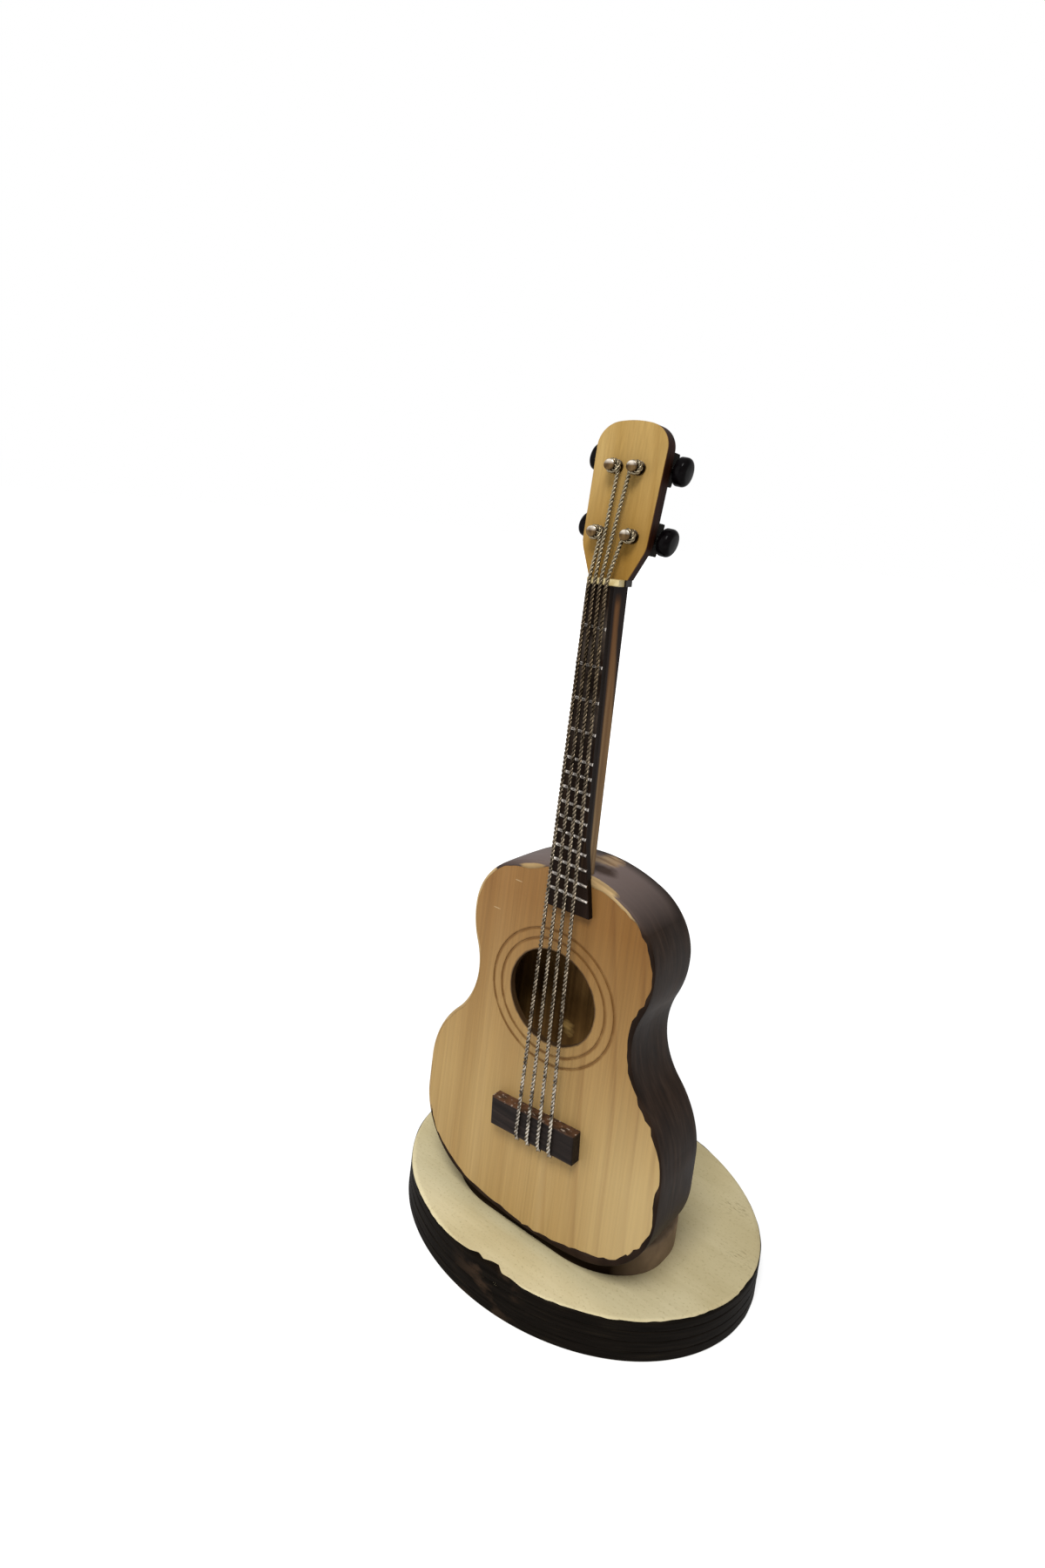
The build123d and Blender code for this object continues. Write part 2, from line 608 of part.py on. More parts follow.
# Strings
def string_tail_place(number):
    """Across and up, in the bridge's frame, of the hole where a string leaves the soundboard."""
    across = STRING_SHIFT_AT_BRIDGE + (number - (STRING_COUNT - 1) / 2) * STRING_SPACE_AT_BRIDGE
    return across, -BRIDGE_HEIGHT / 2 - STRING_RADIUS - STRING_GAP


def string_tube(number, radius):
    """String from inside the soundboard, over the bridge and the nut, to the inner side of its post."""
    across, up = string_tail_place(number)
    tail = BRIDGE.from_local_coords((across, up, -SOUNDBOARD_THICKNESS - STRING_TAIL))
    bend = BRIDGE.from_local_coords((across, up, BRIDGE_THICKNESS + STRING_RADIUS + STRING_GAP))
    nut_across = STRING_SHIFT_AT_NUT + (number - (STRING_COUNT - 1) / 2) * STRING_SPACE_AT_NUT
    nut_out = NUT_HEIGHT - NUT_SLOT_DEPTH + STRING_RADIUS
    nut = NECK.from_local_coords((nut_across, NUT_START + NUT_LENGTH / 2, nut_out))
    post_across, post_up = post_place(STRING_POSTS[number])
    inner_side = -1 if post_across > 0 else 1
    touch = post_across + inner_side * (POST_RADIUS + STRING_RADIUS + STRING_GAP)
    end = HEAD.from_local_coords((touch, post_up, WINDING_MIDDLE))
    path = FilletPolyline(tail, bend, nut, end, radius=[STRING_BRIDGE_BEND, STRING_NUT_BEND])
    section = Plane(origin=path @ 0, z_dir=path % 0) * Circle(radius)
    return sweep(section, path=path)


def make_string(number):
    """One string with the turns wound on its post as a plain sleeve."""
    across, up = post_place(STRING_POSTS[number])
    sleeve = rod(POST_RADIUS + STRING_DIAMETER, WINDING_START, WINDING_START + WINDING_LENGTH)
    sleeve -= rod(POST_RADIUS, WINDING_START - CUT_PAST, WINDING_START + WINDING_LENGTH + CUT_PAST)
    return string_tube(number, STRING_RADIUS) + HEAD * Pos(across, up, 0) * sleeve


# Tuners
def make_string_post(post):
    """Turned metal post: shank in the head, flange, stem and rounded cap."""
    across, up = post_place(post)
    cap = rod(POST_CAP_DIAMETER / 2, POST_HEIGHT - POST_CAP_THICKNESS, POST_HEIGHT)
    cap = fillet(cap.edges(), POST_CAP_ROUND)
    flange = rod(POST_FLANGE_DIAMETER / 2, 0, POST_FLANGE_THICKNESS)
    stem = rod(POST_RADIUS, -POST_GRIP, POST_HEIGHT - POST_CAP_THICKNESS / 2)
    return HEAD * Pos(across, up, 0) * (stem + flange + cap)


def knob_start():
    """Distance of the knob's wide part from the head's edge."""
    return TUNER_GAP + KNOB_HUB_LENGTH


def make_tuner_block(tuner):
    """Small block glued behind the head, bored for one shaft."""
    block = Box(TUNER_BLOCK_HEIGHT, TUNER_BLOCK_THICKNESS, TUNER_BLOCK_WIDTH)
    block = fillet(block.edges().filter_by(Axis.Z), TUNER_BLOCK_ROUND)
    block = Pos(0, 0, -TUNER_BLOCK_INSET - TUNER_BLOCK_WIDTH / 2) * block
    block -= rod(SHAFT_DIAMETER / 2 + SHAFT_CLEARANCE, -SHAFT_GRIP - SHAFT_END_CLEARANCE, 0)
    return tuner_frame(tuner) * block


def make_tuner_shaft(tuner):
    """Pin of one knob, from its socket in the knob to its end in the block behind the head."""
    return tuner_frame(tuner) * rod(SHAFT_DIAMETER / 2, -SHAFT_GRIP, knob_start() + SHAFT_SOCKET)


def make_tuner_knob(tuner):
    """Oval knob with rounded ends, a short hub and the socket of its shaft, turned as it was left."""
    grip = extrude(Ellipse(KNOB_HEIGHT / 2, KNOB_BREADTH / 2), KNOB_LENGTH)
    ends = grip.edges().group_by(Axis.Z)
    grip = fillet(ends[-1], KNOB_OUTER_ROUND)
    grip = fillet(grip.edges().group_by(Axis.Z)[0], KNOB_INNER_ROUND)
    knob = Pos(0, 0, knob_start()) * grip
    knob += rod(KNOB_HUB_DIAMETER / 2, TUNER_GAP, knob_start() + KNOB_INNER_ROUND)
    knob -= rod(SHAFT_DIAMETER / 2, 0, knob_start() + SHAFT_SOCKET)
    return tuner_frame(tuner) * Rot(0, 0, KNOB_REST_TURN[tuner]) * knob


def make_pieces():
    """Every piece by its node name."""
    pieces = {
        "base_disc": make_base_disc(),
        "cradle_block": make_cradle_block(),
        "stand_screws": make_stand_screws(),
        "soundboard": make_soundboard(),
        "rib_left": make_rib(-1),
        "rib_right": make_rib(1),
        "back_plate": make_back_plate(),
        "tail_block": make_tail_block(),
        "neck_block": make_neck_block(),
        "neck": make_neck(),
        "fretboard": make_fretboard(),
        "frets": make_frets(),
        "nut": make_nut(),
        "headstock": make_headstock(),
        "bridge": make_bridge(),
    }
    for number in range(STRING_COUNT):
        pieces[f"string_{number + 1}"] = make_string(number)
    for tuner in TUNERS:
        pieces[f"string_post_{tuner}"] = make_string_post(tuner)
        pieces[f"tuner_block_{tuner}"] = make_tuner_block(tuner)
        pieces[f"tuner_shaft_{tuner}"] = make_tuner_shaft(tuner)
        pieces[f"tuner_knob_{tuner}"] = make_tuner_knob(tuner)
    return pieces


os.makedirs("parts", exist_ok=True)
for node, shape in make_pieces().items():
    export_step(shape, f"parts/{node}.step")
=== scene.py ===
# %% [markdown]
# A miniature guitar stands in a cradle on a round board. The solids come from the CAD model in metres,
# with +Z up and the guitar facing -Y. This lesson dresses them: it adds what solids don't hold well,
# such as a brushed paint line or twisted wire, and gives every surface a finish made of shader nodes.

# %% Load the solids
import json
import bmesh
import bpy
import numpy as np
from mathutils import Matrix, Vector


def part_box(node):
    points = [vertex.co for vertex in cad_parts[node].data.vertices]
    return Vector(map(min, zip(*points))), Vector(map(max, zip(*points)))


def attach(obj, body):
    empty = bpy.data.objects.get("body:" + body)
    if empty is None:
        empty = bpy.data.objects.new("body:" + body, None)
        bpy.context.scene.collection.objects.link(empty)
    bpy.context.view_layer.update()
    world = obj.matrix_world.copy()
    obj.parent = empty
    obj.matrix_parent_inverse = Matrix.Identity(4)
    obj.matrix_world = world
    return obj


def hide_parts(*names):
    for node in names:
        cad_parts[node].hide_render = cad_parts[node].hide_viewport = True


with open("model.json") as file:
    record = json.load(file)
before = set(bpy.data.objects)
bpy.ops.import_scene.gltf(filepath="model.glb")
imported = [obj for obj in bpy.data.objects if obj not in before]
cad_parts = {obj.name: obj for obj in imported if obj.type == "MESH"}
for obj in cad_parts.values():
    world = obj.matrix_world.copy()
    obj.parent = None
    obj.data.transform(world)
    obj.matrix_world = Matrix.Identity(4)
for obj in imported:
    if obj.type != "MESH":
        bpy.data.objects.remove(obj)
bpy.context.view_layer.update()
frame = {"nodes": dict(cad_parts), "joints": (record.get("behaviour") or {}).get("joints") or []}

# %% [markdown]
# The camera stands in front of the guitar and to its right, level with the head, where the picture was
# taken. It could be aimed by hand until the view looks right. Its place and directions are written
# down instead, because they were worked out from points whose real places are known. The lens is given
# by its focal length in pixels. The picture is not cut from the middle of the lens's view, so the
# camera is shifted by as much. Sizes in this lesson are millimetres, as on a workshop drawing, and
# become metres where Blender takes them.

# %% Camera
MM = 0.001
IMAGE_WIDTH, IMAGE_HEIGHT = 1200, 1800
FOCAL_PIXELS = 1111.61
LENS_CENTRE = (393.29, 710.96)
SENSOR_WIDTH = 36.0
NEAREST_SEEN = 10.0
CAMERA_PLACE = (144.80, -302.48, 246.80)
CAMERA_RIGHT = (0.712167, 0.695458, 0.095688)
CAMERA_DOWN = (0.157257, -0.025202, -0.987236)
CAMERA_AHEAD = (-0.684169, 0.718125, -0.127314)


def put_up(name, data, axes, place):
    """Object in the scene, with its axes (right, up, backwards) and its place as matrix columns."""
    thing = bpy.data.objects.new(name, data)
    bpy.context.scene.collection.objects.link(thing)
    columns = np.eye(4)
    columns[:3, :3] = np.stack(axes, axis=1)
    columns[:3, 3] = np.array(place) * MM
    thing.matrix_world = Matrix(columns.tolist())
    return thing


def make_camera():
    """Camera with the picture's lens and shift, at the place where the picture was taken."""
    data = bpy.data.cameras.new("camera")
    data.sensor_width = SENSOR_WIDTH
    data.lens = FOCAL_PIXELS / IMAGE_HEIGHT * SENSOR_WIDTH
    data.shift_x = (IMAGE_WIDTH / 2 - LENS_CENTRE[0]) / IMAGE_HEIGHT
    data.shift_y = (LENS_CENTRE[1] - IMAGE_HEIGHT / 2) / IMAGE_HEIGHT
    data.clip_start = NEAREST_SEEN * MM
    axes = (CAMERA_RIGHT, -np.array(CAMERA_DOWN), -np.array(CAMERA_AHEAD))
    return put_up("camera", data, axes, CAMERA_PLACE)


bpy.context.scene.camera = make_camera()
bpy.context.scene.view_settings.view_transform = "Standard"
print("lens", round(bpy.context.scene.camera.data.lens, 2), "mm")

# %% [markdown]
# A finish is a small tree of nodes. Nodes can be joined by hand in the shader editor, but code keeps every
# value in sight. One function adds a node of any kind, with its inputs in their order or by name. Four
# kinds do most of the work: Map Range carries a value from one range over to another, which makes every
# fade, Math joins two values, Mix blends two colours, and a colour ramp turns a value into a colour.
# Colours are hex values, as a colour picker shows them, turned into the linear light that the renderer
# adds up.

# %% Colours and nodes
def linear(hex_colour):
    """Linear light of an sRGB hex colour: c / 12.92 when dark, else ((c + 0.055) / 1.055) to the 2.4."""
    part = np.array([int(hex_colour[start:start + 2], 16) for start in (1, 3, 5)]) / 255
    light = np.where(part <= 0.04045, part / 12.92, ((part + 0.055) / 1.055) ** 2.4)
    return (*light.tolist(), 1.0)


def add(tree, kind, inputs=(), out=0, stops=(), **settings):
    """Add a node with settings, ramp stops and inputs (values, hex colours or sockets); return an output."""
    node = tree.nodes.new("ShaderNode" + kind)
    for name, value in settings.items():
        setattr(node, name, value)
    for key, value in inputs.items() if isinstance(inputs, dict) else enumerate(inputs):
        if isinstance(value, bpy.types.NodeSocket):
            tree.links.new(value, node.inputs[key])
        else:
            node.inputs[key].default_value = linear(value) if isinstance(value, str) else value
    while stops and len(node.color_ramp.elements) < len(stops):
        node.color_ramp.elements.new(1.0)
    for number, (share, colour) in enumerate(stops):
        node.color_ramp.elements[number].position = share
        node.color_ramp.elements[number].color = linear(colour)
    return node.outputs[out] if node.outputs else node


def start_finish(name):
    """An empty material and its node tree."""
    material = bpy.data.materials.new(name)
    material.use_nodes = True
    material.node_tree.nodes.clear()
    return material, material.node_tree


print("lacquer brown is", linear("#2c2018"))

# %% [markdown]
# A pattern is laid out by the place of a point on the object, so that it stays put when the camera or the
# part moves. An unwrapped image would do too, but needs a file and seams. Noise that is stretched along
# one direction looks like fibres or brush strokes, so one pattern serves wood, paint and worn metal.
# Its spots are given in real millimetres.

# %% Places and patterns
def metres(sizes):
    """Millimetres turned into metres."""
    return [size * MM for size in sizes]


def axis(tree, name):
    """One coordinate of a point's place on the object, in metres."""
    return add(tree, "SeparateXYZ", [add(tree, "TexCoord", out="Object")], out=name)


def away_from(tree, point):
    """Distance, in metres, from a point given in mm."""
    ends = [add(tree, "TexCoord", out="Object"), metres(point)]
    return add(tree, "VectorMath", ends, out="Value", operation="DISTANCE")


def streaks(tree, sizes, detail=3.0, shift=0.0):
    """Noise whose spots measure sizes (x, y, z) in mm; another shift gives another noise."""
    place = add(tree, "TexCoord", out="Object")
    inputs = {"Vector": place, "Location": [shift] * 3, "Scale": [1 / size for size in metres(sizes)]}
    spread = add(tree, "Mapping", inputs)
    return add(tree, "TexNoise", {"Vector": spread, "Scale": 1.0, "Detail": detail}, out="Fac")


print("spots of 1 mm are a noise scale of", round(1 / MM))

# %% [markdown]
# The object stands before plain white, in soft light from the front. Strong lamps could bleach a backdrop,
# but they would bleach the guitar as well. So the surround is white only to the camera, to mirrors and
# through glass. As light it is a dimmer grey, and a soft lamp high in front and a weak one from the left
# shape the forms. At that level a colour comes out about as it is written.

# %% Surround and lamps
AMBIENT = 0.40
KEY_PLACE, KEY_SIZE, KEY_WATTS = (320, -1130, 1560), 560, 26.0
FILL_PLACE, FILL_SIZE, FILL_WATTS = (-500, -700, 420), 700, 2.0
LAMP_AIM = (0, -25, 110)


def seen_directly(tree):
    """1 where a ray comes from the camera, a mirror or through glass, else 0."""
    total = 0.0
    for ray in ("Is Camera Ray", "Is Glossy Ray", "Is Transmission Ray"):
        total = add(tree, "Math", [total, add(tree, "LightPath", out=ray)], operation="MAXIMUM")
    return total


def make_surround():
    """World light: a plain grey for lighting, white where it is looked at."""
    world = bpy.data.worlds.new("white surround")
    world.use_nodes = True
    tree = world.node_tree
    tree.nodes.clear()
    grey = add(tree, "Background", {"Color": "#ffffff", "Strength": AMBIENT})
    white = add(tree, "Background", {"Color": "#ffffff", "Strength": 1.0})
    both = add(tree, "MixShader", [seen_directly(tree), grey, white])
    add(tree, "OutputWorld", {"Surface": both})
    bpy.context.scene.world = world


def make_lamp(name, place, size, watts):
    """Square soft lamp aimed at the middle of the guitar."""
    data = bpy.data.lights.new(name, "AREA")
    data.size = size * MM
    data.energy = watts
    away = np.array(place, float) - LAMP_AIM
    away /= np.linalg.norm(away)
    side = np.cross((0, 0, 1), away)
    side /= np.linalg.norm(side)
    put_up(name, data, (side, np.cross(away, side), away), place)


make_surround()
make_lamp("key lamp", KEY_PLACE, KEY_SIZE, KEY_WATTS)
make_lamp("fill lamp", FILL_PLACE, FILL_SIZE, FILL_WATTS)
print("lamps of", KEY_WATTS, "and", FILL_WATTS, "watts are set")

# %% [markdown]
# The floor is a sheet of white paper. Plain paper would look grey away from the lamps, and more light on it
# would also fall on the guitar. So, where it is looked at, the sheet is a darker matt paper with a white
# glow that grows with the distance from the stand. It keeps the shadow close by and melts into the
# surround further off.

# %% Floor
FLOOR_REACH, FLOOR_DROP = 9000.0, 0.1
GLOW_DISTANCES = (150, 700)


def floor_paper():
    """White paper: matt for light, and for the camera lifted to white and whiter with distance."""
    material, tree = start_finish("white studio paper")
    matt = add(tree, "BsdfDiffuse", {"Color": "#f2f2f2"})
    dim = add(tree, "BsdfDiffuse", {"Color": "#c4c4c4"})
    strength = add(tree, "MapRange", [away_from(tree, (0, 0, 0)), *metres(GLOW_DISTANCES), 0.62, 1.2])
    glow = add(tree, "Emission", {"Strength": strength})
    lifted = add(tree, "AddShader", [dim, glow])
    both = add(tree, "MixShader", [seen_directly(tree), matt, lifted])
    add(tree, "OutputMaterial", {"Surface": both})
    return material


def make_floor():
    """Square sheet just under the stand."""
    corners = np.array([(-1, -1, 0), (1, -1, 0), (1, 1, 0), (-1, 1, 0)]) * FLOOR_REACH
    corners[:, 2] = -FLOOR_DROP
    mesh = bpy.data.meshes.new("floor")
    mesh.from_pydata((corners * MM).tolist(), [], [(0, 1, 2, 3)])
    mesh.materials.append(floor_paper())
    floor = bpy.data.objects.new("floor", mesh)
    bpy.context.scene.collection.objects.link(floor)


make_floor()
print("floor reaches", FLOOR_REACH, "mm")

# %% [markdown]
# The soundboard and the head are pine under a thin matt varnish. Pine shows broad soft bands along the tree,
# fine fibres, and a few darker lines where a year's growth ended, here mostly on the right. An image of
# a board would be quicker, but nodes in real sizes stay sharp at any distance. Stretched noise gives
# bands and fibres. The place across the board, counted in years, gives the lines: each year darkens
# slowly and stops sharply. The lines lean a little, and noise pushes them about.

# %% Pine
# The space is in mm, start and wander are in years, and the lean is mm across per mm of height.
GROWTH_LINE_SPACE = 9.0
GROWTH_LINE_START = -0.33
GROWTH_LINE_LEAN = 0.108
GROWTH_LINE_WANDER = 1.6
GROWTH_LINE_ACROSS = (0, 20)
BAND_SIZE, FIBRE_SIZE = (9, 9, 260), (0.7, 0.7, 45)


def growth_lines(tree):
    """How dark a year's end is: the fraction of (across + lean times height) / space, plus noise, eased."""
    across = axis(tree, "X")
    push = streaks(tree, (30, 30, 120), detail=1, shift=9)
    push = add(tree, "Math", [push, GROWTH_LINE_WANDER, GROWTH_LINE_START], operation="MULTIPLY_ADD")
    leaning = add(tree, "Math", [axis(tree, "Z"), GROWTH_LINE_LEAN, across], operation="MULTIPLY_ADD")
    years = add(tree, "Math", [leaning, 1 / (GROWTH_LINE_SPACE * MM), push], operation="MULTIPLY_ADD")
    year = add(tree, "Math", [years], operation="FRACT")
    dark = add(tree, "MapRange", [year, 0.7, 0.92])
    sharp_end = add(tree, "MapRange", [year, 1.0, 0.94])
    uneven = streaks(tree, (14, 14, 90), detail=2, shift=3)
    at_right = add(tree, "MapRange", [across, *metres(GROWTH_LINE_ACROSS), 0.2, 0.9])
    for share in (sharp_end, uneven, at_right):
        dark = add(tree, "Math", [dark, share], operation="MULTIPLY")
    return dark


def pine_colour(tree, pale, middle, deep, line):
    """Colour and fibres of pine that grew upwards: bands, growth lines at the right and fine fibres."""
    bands = streaks(tree, BAND_SIZE, detail=2)
    fibres = streaks(tree, FIBRE_SIZE, shift=5)
    colour = add(tree, "ValToRGB", [bands], stops=[(0.32, deep), (0.5, middle), (0.68, pale)])
    colour = add(tree, "MixRGB", [growth_lines(tree), colour, line])
    shade = add(tree, "ValToRGB", [fibres], stops=[(0.3, "#d6d6d6"), (0.7, "#ffffff")])
    return add(tree, "MixRGB", [0.5, colour, shade], blend_type="MULTIPLY"), fibres


print("growth lines lie", GROWTH_LINE_SPACE, "mm apart")

# %% [markdown]
# The soundboard is a deeper honey towards the top and towards the right, and paler at its lower right. Slow
# changes with height and across give that. Two rings were burnt round the sound hole, and the hole's wall is
# dark where the blade ran hot. The grooves are in the solid, and the distance from the hole's middle, made
# shaky by noise, decides where a burn shows. Two short scratches are pale ovals: heights are stretched
# before their distance is taken, so an oval is that many times longer than it is tall.

# %% Colour of the soundboard
DEEPER_TOP_HEIGHTS, HONEY_ACROSS = (55, 125), (-20, 25)
PALER_HEIGHTS, PALER_ACROSS = (85, 50), (14, 34)
HOLE_MIDDLE, HOLE_RADIUS = (1.6, 0.0, 96.566), 15.1
RING_RADII, RING_FADE, BURN_STRAY = (18.6, 21.7), (0.805, 0.245), 0.6
SCRATCHES = ((-15.2, 129.2), (-22.1, 117.4))
SCRATCH_LENGTH, SCRATCH_STRETCH = 3.2, 9.0


def toned_pine(tree):
    """Colour and fibres of the board's pine: deeper above and to the right, and paler at the lower right."""
    colour, fibres = pine_colour(tree, "#b29563", "#aa8c59", "#a18250", "#87653a")
    right = add(tree, "MapRange", [axis(tree, "X"), *metres(HONEY_ACROSS)])
    honey = add(tree, "MixRGB", [right, "#d2bca9", "#c0a47e"])
    deeper_top = add(tree, "MapRange", [axis(tree, "Z"), *metres(DEEPER_TOP_HEIGHTS)])
    colour = add(tree, "MixRGB", [deeper_top, colour, honey], blend_type="MULTIPLY")
    paler = add(tree, "MapRange", [axis(tree, "X"), *metres(PALER_ACROSS), 0, 0.45])
    below = add(tree, "MapRange", [axis(tree, "Z"), *metres(PALER_HEIGHTS)])
    paler = add(tree, "Math", [paler, below], operation="MULTIPLY")
    return add(tree, "MixRGB", [paler, colour, "#bfa877"]), fibres


def hole_distance(tree):
    """Distance from the sound hole's middle, seen from the front and a little shaky."""
    place = add(tree, "TexCoord", out="Object")
    flat = add(tree, "VectorMath", [place, (1, 0, 1)], operation="MULTIPLY")
    radius = add(tree, "VectorMath", [flat, metres(HOLE_MIDDLE)], out="Value", operation="DISTANCE")
    shake = streaks(tree, (3, 3, 3), detail=2)
    return add(tree, "Math", [shake, BURN_STRAY * MM, radius], operation="MULTIPLY_ADD")


def burn_rings(tree, colour, radius):
    """Darken a colour where the radius is near that of a ring, more in some places than in others."""
    burn = add(tree, "MapRange", [streaks(tree, (5, 5, 5), detail=2, shift=2), 0.2, 0.5])
    for ring in RING_RADII:
        off = add(tree, "Math", [radius, (ring + BURN_STRAY / 2) * MM], operation="SUBTRACT")
        off = add(tree, "Math", [off], operation="ABSOLUTE")
        dark = add(tree, "MapRange", [off, *metres(RING_FADE), 0, 0.75])
        dark = add(tree, "Math", [dark, burn], operation="MULTIPLY")
        colour = add(tree, "MixRGB", [dark, colour, "#6b471d"])
    return colour


def scratch(tree, colour):
    """Lighten a colour in each scratch: an oval by the distance after heights are stretched."""
    place = add(tree, "TexCoord", out="Object")
    tall = add(tree, "VectorMath", [place, (1, 0, SCRATCH_STRETCH)], operation="MULTIPLY")
    for across, up in SCRATCHES:
        ends = [tall, metres((across, 0, up * SCRATCH_STRETCH))]
        off = add(tree, "VectorMath", ends, out="Value", operation="DISTANCE")
        dent = add(tree, "MapRange", [off, SCRATCH_LENGTH / 2 * MM, SCRATCH_LENGTH / 3 * MM, 0, 0.32])
        colour = add(tree, "MixRGB", [dent, colour, "#d9c79f"])
    return colour


print("burnt rings", RING_RADII, "mm,", len(SCRATCHES), "scratches")

# %% [markdown]
# Every wood and paint finish ends in the same way: a colour, a roughness and a gloss level go into the
# principled shader. The relief of fibres and strokes is too fine for geometry, so a Bump node tilts the
# light instead. A CAD solid gets its finish through its material slots, and its mesh stays as it is.

# %% Soundboard
BUMP_STRENGTH = 0.3
WALL_BURN = (0.9, 0.35)


def make_surface(tree, colour, rough, gloss, relief, depth):
    """Join a colour, a roughness, a gloss level and a relief some mm deep into the finished surface."""
    bump = add(tree, "Bump", {"Height": relief, "Strength": BUMP_STRENGTH, "Distance": depth * MM})
    inputs = {"Base Color": colour, "Roughness": rough, "Specular IOR Level": gloss, "Normal": bump}
    add(tree, "OutputMaterial", {"Surface": add(tree, "BsdfPrincipled", inputs)})


def finish_node(name, material):
    """Give a CAD solid its finish."""
    for slot in frame["nodes"][name].material_slots:
        slot.material = material


def soundboard_pine():
    """Matt varnished pine with burnt rings: a soft sheen over warm, lined wood."""
    material, tree = start_finish("varnished pine with burnt rings")
    colour, fibres = toned_pine(tree)
    radius = hole_distance(tree)
    colour = scratch(tree, burn_rings(tree, colour, radius))
    wall = [radius, *metres(HOLE_RADIUS + edge for edge in WALL_BURN), 0, 0.9]
    colour = add(tree, "MixRGB", [add(tree, "MapRange", wall), colour, "#2c1a0d"])
    rough = add(tree, "MapRange", [fibres, 0, 1, 0.48, 0.66])
    make_surface(tree, colour, rough, gloss=0.2, relief=fibres, depth=0.1)
    return material


finish_node("soundboard", soundboard_pine())
print("soundboard is pine")

# %% [markdown]
# The sides and the back carry a dark brown paint that was brushed on by hand. It runs over the edge onto
# the face in a wavy line. A shader can't know how far a point is from the outline, so the paint is a
# thin skin of its own: a closed section, carried once round the body. The outline could be read from the
# solid, whose mesh is loose triangles. It is built again from the same tangent arcs instead, which gives
# even steps and exact directions.

# %% Arcs of the body
BOTTOM_RADIUS = 110.0
LOWER_HALF, LOWER_CORNER_RADIUS, LOWER_SIDE_STRAIGHT, LOWER_FLANK_RADIUS = 42.5, 27.0, 10.0, 32.0
WAIST_RADIUS, WAIST_INSET = 25.0, 4.1
UPPER_HALF, UPPER_FLANK_RADIUS, UPPER_SIDE_STRAIGHT, SHOULDER_RADIUS = 31.9, 30.8, 0.6, 21.0
TOP_RADIUS = 46.0


def above(lower, distance, across):
    """Centre at a given distance from a lower centre and at a given place across."""
    return np.array([across, lower[1] + np.sqrt(distance**2 - (across - lower[0]) ** 2)])


def body_arcs():
    """Arcs of the right half from bottom to top: centre, radius, and the directions of start and end."""
    bottom = np.array([0.0, BOTTOM_RADIUS])
    corner_across = LOWER_HALF - LOWER_CORNER_RADIUS
    reach = BOTTOM_RADIUS - LOWER_CORNER_RADIUS
    corner = np.array([corner_across, BOTTOM_RADIUS - np.sqrt(reach**2 - corner_across**2)])
    flank = np.array([LOWER_HALF - LOWER_FLANK_RADIUS, corner[1] + LOWER_SIDE_STRAIGHT])
    waist = above(flank, LOWER_FLANK_RADIUS + WAIST_RADIUS, UPPER_HALF - WAIST_INSET + WAIST_RADIUS)
    upper = above(waist, UPPER_FLANK_RADIUS + WAIST_RADIUS, UPPER_HALF - UPPER_FLANK_RADIUS)
    shoulder = np.array([UPPER_HALF - SHOULDER_RADIUS, upper[1] + UPPER_SIDE_STRAIGHT])
    top = np.array([0.0, shoulder[1] - np.sqrt((TOP_RADIUS - SHOULDER_RADIUS) ** 2 - shoulder[0] ** 2)])
    return [
        (bottom, BOTTOM_RADIUS, (0, -1), corner - bottom),
        (corner, LOWER_CORNER_RADIUS, corner - bottom, (1, 0)),
        (flank, LOWER_FLANK_RADIUS, (1, 0), waist - flank),
        (waist, WAIST_RADIUS, flank - waist, upper - waist),
        (upper, UPPER_FLANK_RADIUS, waist - upper, (1, 0)),
        (shoulder, SHOULDER_RADIUS, (1, 0), shoulder - top),
        (top, TOP_RADIUS, shoulder - top, (0, 1)),
    ]


print("outline has", len(body_arcs()), "arcs on each side")

# %% [markdown]
# The arcs are joined into one closed line, the left half as the mirror of the right. A skin looks best when
# its points lie at even steps, so the line is cut anew by its length, and each point gets the direction
# that leads outwards.

# %% Outline of the body
ARC_POINTS = 60
OUTLINE_POINTS = 1000


def arc_line(centre, radius, start, end):
    """Centre plus radius times (cosine, sine) of angles from the direction of start to that of end."""
    turn = np.unwrap([np.arctan2(start[1], start[0]), np.arctan2(end[1], end[0])])
    angle = np.linspace(turn[0], turn[1], ARC_POINTS)
    return centre + radius * np.stack([np.cos(angle), np.sin(angle)], axis=1)


def even_loop(points, count):
    """A closed line cut into even steps: points, outward normals and lengths along it."""
    closed = np.vstack([points, points[:1]])
    along = np.append(0, np.cumsum(np.linalg.norm(np.diff(closed, axis=0), axis=1)))
    step = np.linspace(0, along[-1], count, endpoint=False)
    even = np.stack([np.interp(step, along, closed[:, side]) for side in (0, 1)], axis=1)
    run = np.roll(even, -1, axis=0) - np.roll(even, 1, axis=0)
    normal = np.stack([run[:, 1], -run[:, 0]], axis=1)
    return even, normal / np.linalg.norm(normal, axis=1, keepdims=True), step, along[-1]


def body_loop(count):
    """The guitar's outline anticlockwise from the bottom: the right half's arcs and their mirror."""
    right = np.vstack([arc_line(*arc) for arc in body_arcs()])
    left = right[-2:0:-1] * (-1, 1)
    return even_loop(np.vstack([right, left]), count)


outline, outline_normal, outline_along, outline_length = body_loop(OUTLINE_POINTS)
print("outline", round(outline_length, 1), "mm long, top at", outline[:, 1].max().round(3))
